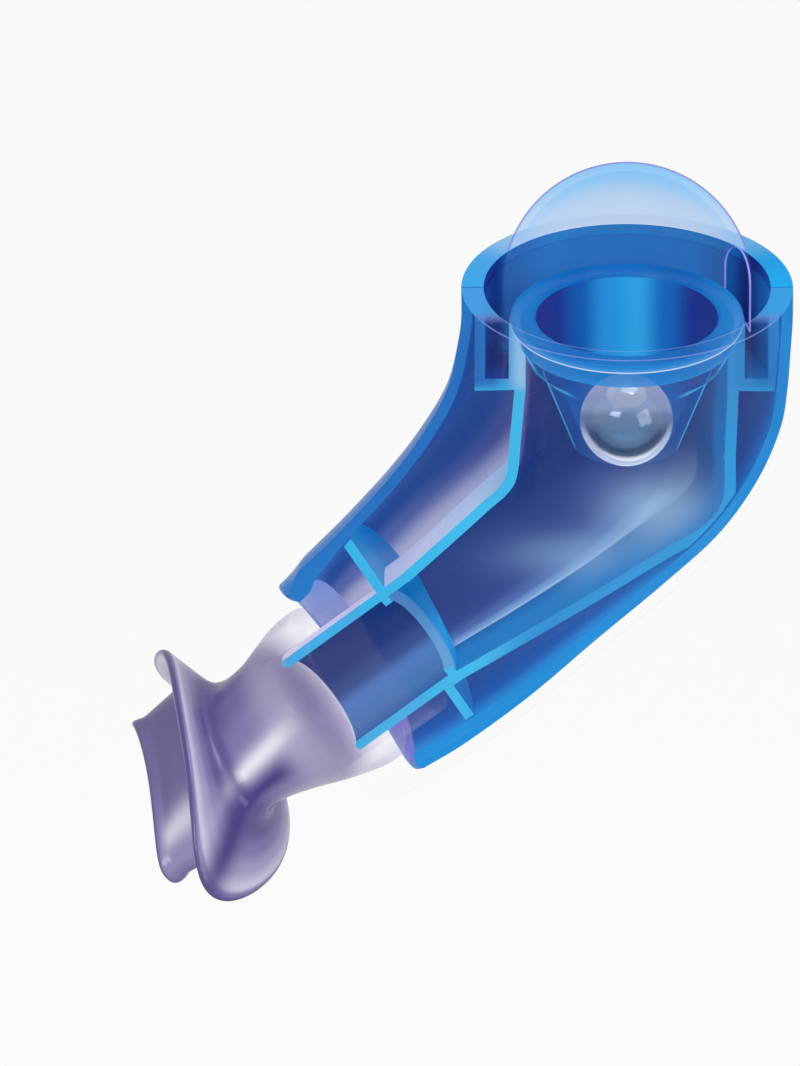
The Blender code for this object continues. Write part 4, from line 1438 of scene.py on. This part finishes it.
@dataclass
class ClearDome:
    """The clear domed cap with its skirt and two round-topped vents."""

    radius: float = 21.5
    wall: float = 1.5
    skirt_inner: float = 20.6
    foot: float = -17.4
    vent_width: float = 11.0
    vent_bottom: float = -9.9
    vent_top: float = 3.3
    vent_angles: tuple[float, ...] = (22.0, 202.0)
    vent_reach: tuple[float, float] = (12.0, 28.0)
    skirt_top: float = -2.2
    most_facing: float = 0.45
    slack: float = 0.1
    ledge_slack: float = 0.06
    bevel: float = 0.3
    arc_steps: int = 33
    columns: int = 160

    def profile(self) -> np.ndarray:
        """Return the profile (radius, z) from the outer apex round to the inner apex."""
        quarter = np.linspace(0.0, math.pi / 2, self.arc_steps)
        inner = self.radius - self.wall
        outside = np.column_stack([self.radius * np.sin(quarter), self.radius * np.cos(quarter)])
        inside = np.column_stack([inner * np.cos(quarter), inner * np.sin(quarter)])
        outside[0, 0] = inside[-1, 0] = 0.0
        foot = [(self.radius, self.foot + self.bevel), (self.radius - self.bevel, self.foot),
                (self.skirt_inner, self.foot), (self.skirt_inner, self.skirt_top)]
        return np.concatenate([outside, foot, inside])

    def vent(self, degrees: float) -> bpy.types.Object:
        """Return the cutter of one vent: a straight-sided slot with a round top.

        Its outline is a half circle over two straight sides, carried outward along the radius.
        """
        half = self.vent_width / 2
        turn = math.radians(degrees)
        out = np.array([math.cos(turn), math.sin(turn), 0.0])
        side = np.array([-math.sin(turn), math.cos(turn), 0.0])
        arc = np.linspace(0.0, math.pi, self.arc_steps)
        across = np.concatenate([[half], half * np.cos(arc), [-half]])
        up = np.concatenate([[self.vent_bottom], self.vent_top - half + half * np.sin(arc),
                             [self.vent_bottom]])
        outline = np.outer(across, side) + np.outer(up, UP)
        points = np.stack([outline + reach * out for reach in self.vent_reach], axis=1)
        patch = Patch(points, [Zone.CUT] * len(outline))
        return surface_object("vent_cutter", patch, [Zone.CUT], caps=True)

    def mark_vents(self, item: bpy.types.Object) -> None:
        """Give the walls of the vents the third finish.

        Its faces run along the radius, inside the wall and between the vents' foot and top.  The
        ledge over the skirt is left out.
        """
        for face in item.data.polygons:
            spot = np.array(face.center) / MM
            radius = math.hypot(spot[0], spot[1])
            out = np.array([spot[0], spot[1], 0.0]) / max(radius, 1e-6)
            square = abs(float(np.array(face.normal) @ out)) < self.most_facing
            reach = np.linalg.norm([radius, max(spot[2], 0.0)])
            within = self.radius - self.wall < reach < self.radius
            height = self.vent_bottom - self.slack < spot[2] < self.vent_top + self.slack
            ledge = abs(spot[2] - self.skirt_top) < self.ledge_slack
            if square and within and height and not ledge:
                face.material_index = 2

    def build(self) -> bpy.types.Object:
        """Return the finished dome."""
        profile = self.profile()
        outer = self.arc_steps + 1
        zones = [Zone.OUTSIDE] * outer + [Zone.INSIDE] * (len(profile) - outer)
        patch = Patch(turned_points(profile, self.columns), zones, closed_rows=False,
                      closed_columns=True)
        item = surface_object("clear_dome", patch, [Zone.OUTSIDE, Zone.INSIDE], caps=False)
        self.dress(item)
        for degrees in self.vent_angles:
            cut_through(item, self.vent(degrees))
        item.data.shade_smooth()
        item.data.set_sharp_from_angle(angle=math.radians(32.0))
        self.mark_vents(item)
        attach(item, "dome")
        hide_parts("cap")
        return item

    def dress(self, item: bpy.types.Object) -> None:
        """Give the dome its finishes in slot order."""
        sky = Wash(stops(
            (0.0, 206, 224, 250), (0.25, 186, 218, 250), (0.6, 152, 210, 250),
            (0.85, 122, 200, 250), (1.0, 110, 192, 248)), UP, 1.0, 20.5)
        outside = ClearPlastic("dome_outside", sky, edge=srgb(96, 112, 212), far_share=0.66,
                               near_share=0.0, edge_share=0.7, edge_from=0.78, edge_to=0.9,
                               rise=(24.3, 25.0), least=0.06, lean=1.963, gloss=0.001)
        inside = ClearPlastic("dome_inside", sky, edge=srgb(130, 190, 244), far_share=0.34,
                              near_share=0.0, edge_share=0.1, edge_from=0.8, edge_to=1.0,
                              rise=(24.3, 25.0), least=0.0, lean=1.963, gloss=0.001)
        give(item, outside, inside, VentLine(radius=self.radius))


def cut_through(item: bpy.types.Object, cutter: bpy.types.Object) -> None:
    """Take a cutter's solid out of a piece for good, and remove the cutter."""
    step = item.modifiers.new("cut", "BOOLEAN")
    step.object = cutter
    step.operation = "DIFFERENCE"
    step.solver = "EXACT"
    bpy.context.view_layer.update()
    graph = bpy.context.evaluated_depsgraph_get()
    mesh = bpy.data.meshes.new_from_object(item.evaluated_get(graph))
    item.modifiers.clear()
    item.data = mesh
    bpy.data.objects.remove(cutter, do_unlink=True)


@dataclass
class Mouthpiece:
    """The translucent mouthpiece: socket, flattening barrel, swept lip shield and bite tip.

    Each row is (place along the tube from its tip, half height, half width, lift, slide, share of
    the shield's sweep, squareness).
    """

    inlet: InletAxis
    turn: float = math.radians(9.0)
    sweep_span: float = 33.0
    sweep_round: float = 4.4
    sweep_hook: float = 4.4
    columns: int = 160
    between: int = 5
    socket_end: float = 18.0
    socket_outer: float = 12.9
    socket_bore: float = 11.3
    shield_ends: tuple[float, float] = (-19.95, -15.5)
    shield_widths: tuple[float, float] = (18.0, 34.3)
    outside: tuple = (
        (9.4, 12.9, 12.9, 0.0, 0.0, 0.0, 2.0), (8.6, 12.9, 12.9, 0.0, 0.0, 0.0, 2.0),
        (7.9, 13.5, 13.5, 0.2, 0.0, 0.0, 2.0), (7.5, 14.8, 14.8, 0.5, 0.0, 0.0, 2.0),
        (6.9, 15.6, 15.6, 0.7, 0.0, 0.0, 2.0), (4.5, 15.7, 15.6, 0.8, 0.0, 0.0, 2.0),
        (1.0, 15.1, 14.9, 1.0, 0.0, 0.0, 2.0), (-3.0, 13.7, 14.3, 1.1, 0.0, 0.0, 2.0),
        (-7.0, 12.0, 14.6, 1.4, -0.1, 0.0, 1.9), (-11.0, 10.5, 15.6, 1.8, -0.5, 0.05, 1.8),
        (-14.0, 9.4, 16.9, 2.0, -1.0, 0.15, 1.8), (-15.8, 9.3, 18.3, 2.1, -1.2, 0.5, 1.9),
        (-16.5, 10.0, 21.5, 2.1, -1.3, 0.85, 2.0), (-16.8, 12.6, 28.4, 2.1, -1.3, 1.0, 2.0),
        (-17.1, 14.7, 33.2, 2.1, -1.3, 1.0, 2.0), (-17.9, 15.2, 34.3, 2.1, -1.3, 1.0, 2.0),
        (-18.7, 14.7, 33.2, 2.1, -1.3, 1.0, 2.0), (-19.0, 13.0, 30.0, 2.1, -1.4, 1.0, 2.0),
        (-19.2, 10.8, 27.0, 2.3, -1.5, 1.0, 2.0), (-19.9, 8.9, 24.9, 2.5, -1.5, 1.0, 2.0),
        (-22.0, 7.9, 23.9, 2.6, -1.5, 1.0, 2.1), (-26.5, 6.4, 23.3, 2.8, -1.5, 1.0, 2.3),
        (-29.0, 5.4, 23.1, 2.9, -1.5, 1.0, 2.5), (-30.1, 5.7, 23.4, 2.9, -1.5, 1.0, 2.5),
        (-31.0, 5.9, 23.6, 2.9, -1.5, 1.0, 2.5), (-31.6, 5.6, 23.3, 2.9, -1.5, 1.0, 2.5),
        (-31.8, 4.9, 22.7, 2.9, -1.5, 1.0, 2.5))
    inside: tuple = (
        (-31.6, 4.1, 21.9, 2.9, -1.5, 1.0, 2.5), (-30.6, 3.7, 21.4, 2.9, -1.5, 1.0, 2.5),
        (-28.0, 4.0, 21.3, 2.9, -1.5, 1.0, 2.5), (-22.0, 6.0, 21.6, 2.6, -1.5, 1.0, 2.2),
        (-18.0, 6.9, 17.4, 2.3, -1.3, 0.6, 2.0), (-14.0, 7.6, 15.0, 2.0, -1.0, 0.15, 1.9),
        (-11.0, 8.7, 13.8, 1.7, -0.5, 0.05, 1.9), (-7.0, 10.0, 12.6, 1.2, -0.1, 0.0, 2.0),
        (-3.0, 11.0, 11.9, 0.5, 0.0, 0.0, 2.0), (-0.5, 11.3, 11.3, 0.0, 0.0, 0.0, 2.0))

    def rows(self) -> np.ndarray:
        """Return all rows round the wall, the smooth stretches read from curves through them."""
        outer = np.array(self.outside)
        inner = np.array(self.inside)
        outer = spline(outer, np.linspace(0, len(outer) - 1, (len(outer) - 1) * self.between + 1))
        inner = spline(inner, np.linspace(0, len(inner) - 1, (len(inner) - 1) * self.between + 1))
        sleeve = np.array([(self.socket_end, self.socket_outer, self.socket_outer, 0, 0, 0, 2.0)])
        bore = np.array([(self.socket_end, self.socket_bore, self.socket_bore, 0, 0, 0, 2.0)])
        return np.concatenate([sleeve, outer, inner, bore])

    def points(self) -> np.ndarray:
        """Return the closed grid of the mouthpiece.

        A row is the curve (height |cos a|^p, width |sin a|^p) with p two over the squareness,
        raised by the lift and slid along its width.  The shield's sweep is the round part times
        the square of the width over the span, plus the hook times its fourth power.  The whole is
        turned about the tube's axis.
        """
        s, height, width, lift, slide, share, square = self.rows().T[:, :, None]
        angle = 2.0 * math.pi * np.arange(self.columns)[None, :] / self.columns
        power = 2.0 / square
        up = np.sign(np.cos(angle)) * np.abs(np.cos(angle)) ** power * height + lift
        side = np.sign(np.sin(angle)) * np.abs(np.sin(angle)) ** power * width + slide
        reach = side / self.sweep_span
        along = s - share * (self.sweep_round * reach**2 + self.sweep_hook * reach**4)
        rise = math.cos(self.turn) * up - math.sin(self.turn) * side
        y = -math.sin(self.turn) * up - math.cos(self.turn) * side
        plane = (np.asarray(self.inlet.tip) + along[..., None] * self.inlet.along
                 + rise[..., None] * self.inlet.across)
        return np.stack([plane[..., 0], y, plane[..., 1]], -1)

    def build(self) -> bpy.types.Object:
        """Return the finished mouthpiece."""
        rows = self.rows()
        turned_in = 1 + (len(self.outside) - 1) * self.between
        zones = [Zone.OUTSIDE if row <= turned_in else Zone.INSIDE for row in range(len(rows))]
        low, high = self.shield_ends
        in_shield = (rows[:, 0] > low) & (rows[:, 0] < high)
        root, tip = self.shield_widths
        lobe = np.clip((rows[:, 2] - root) / (tip - root), 0.0, 1.0) * in_shield
        patch = Patch(self.points(), zones, closed_columns=True,
                      row_values={"station": rows[:, 0], "lobe": lobe})
        item = surface_object("mouthpiece_lavender", patch, [Zone.OUTSIDE, Zone.INSIDE], caps=False,
                              sharp=50.0)
        give(item, LavenderPlastic("lavender_outside"),
             LavenderPlastic("lavender_inside", inside=True))
        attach(item, "mouth")
        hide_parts("mouthpiece")
        return item


# Stage


@dataclass
class Stage:
    """Plain pale floor, soft studio light and the camera at the drawing's angle."""

    target: tuple[float, float, float] = (-0.039, 0.0, -0.0474)
    distance: float = 3.6
    lens: float = 704.0
    floor_height: float = -0.32
    floor_reach: float = 4.0
    floor_white: float = 0.88

    def camera(self) -> None:
        """Place the camera."""
        data = bpy.data.cameras.new("camera")
        data.lens = self.lens
        data.sensor_width = 36.0
        item = add_object("camera", data)
        back = np.array([0.0, -math.cos(VIEW_RISE), math.sin(VIEW_RISE)])
        item.location = tuple(np.array(self.target) + back * self.distance)
        item.rotation_euler = (math.pi / 2 - VIEW_RISE, 0.0, 0.0)
        bpy.context.scene.camera = item

    def lamp(self, name: str, place: tuple[float, float, float], size: float, power: float) -> None:
        """Place a square soft lamp that faces the device."""
        data = bpy.data.lights.new(name, "AREA")
        data.size = size
        data.energy = power
        item = add_object(name, data)
        item.location = place
        toward = np.array(self.target) - np.array(place)
        flat = math.hypot(toward[0], toward[1])
        item.rotation_euler = (math.atan2(flat, -toward[2]), 0.0, math.atan2(-toward[0], toward[1]))

    def world(self) -> None:
        """Make the world white to the eye and to mirrors, and a dim soft grey as light."""
        board = Board("studio", world=True)
        soft = board.node("Background", {"Strength": 0.5})
        white = board.node("Background", {"Color": WHITE})
        made = board.node("MixShader", {0: board.seen(), 1: soft.outputs[0], 2: white.outputs[0]})
        bpy.context.scene.world = board.finish(made.outputs[0])

    def floor(self) -> None:
        """Lay the pale floor: white to the eye, and pale grey where a shadow falls."""
        mesh = bpy.data.meshes.new("floor")
        corners = [(x * self.floor_reach, y * self.floor_reach, self.floor_height)
                   for x, y in ((-1, -1), (1, -1), (1, 1), (-1, 1))]
        mesh.from_pydata(corners, [], [(0, 1, 2, 3)])
        item = add_object("floor", mesh)
        board = Board("pale_floor")
        matt = board.node("BsdfDiffuse", {"Color": (0.86, 0.86, 0.87, 1.0)})
        white = board.node("Emission", {"Color": WHITE, "Strength": 1.0})
        share = board.math("MULTIPLY", board.seen(), self.floor_white)
        made = board.node("MixShader", {0: share, 1: matt.outputs[0], 2: white.outputs[0]})
        mesh.materials.append(board.finish(made.outputs[0]))

    def build(self) -> None:
        """Set up the whole stage."""
        self.floor()
        self.world()
        self.lamp("key", (-0.5, -0.7, 0.75), 0.5, 5.5)
        self.lamp("fill", (0.7, -0.6, 0.35), 0.6, 3.0)
        self.lamp("back", (0.1, 0.35, 1.0), 0.5, 3.0)
        self.camera()
        bpy.context.scene.view_settings.view_transform = "Standard"
        bpy.context.scene.cycles.transparent_max_bounces = 64


def main() -> None:
    """Build every piece in order, then the stage."""
    logging.basicConfig(level=logging.INFO, format="%(name)s: %(message)s")
    form = BodyForm()
    inlet = InletAxis()
    makers = [OuterShell(Side.REAR, form), OuterShell(Side.FRONT, form),
              Airway(Side.REAR, form, inlet), Airway(Side.FRONT, form, inlet),
              BallSeat(), SteelBall(), ClearDome(), Mouthpiece(inlet)]
    for maker in makers:
        item = maker.build()
        LOG.info("%s: %d faces", item.name, len(item.data.polygons))
    Stage().build()


if __name__ == "__main__":
    main()
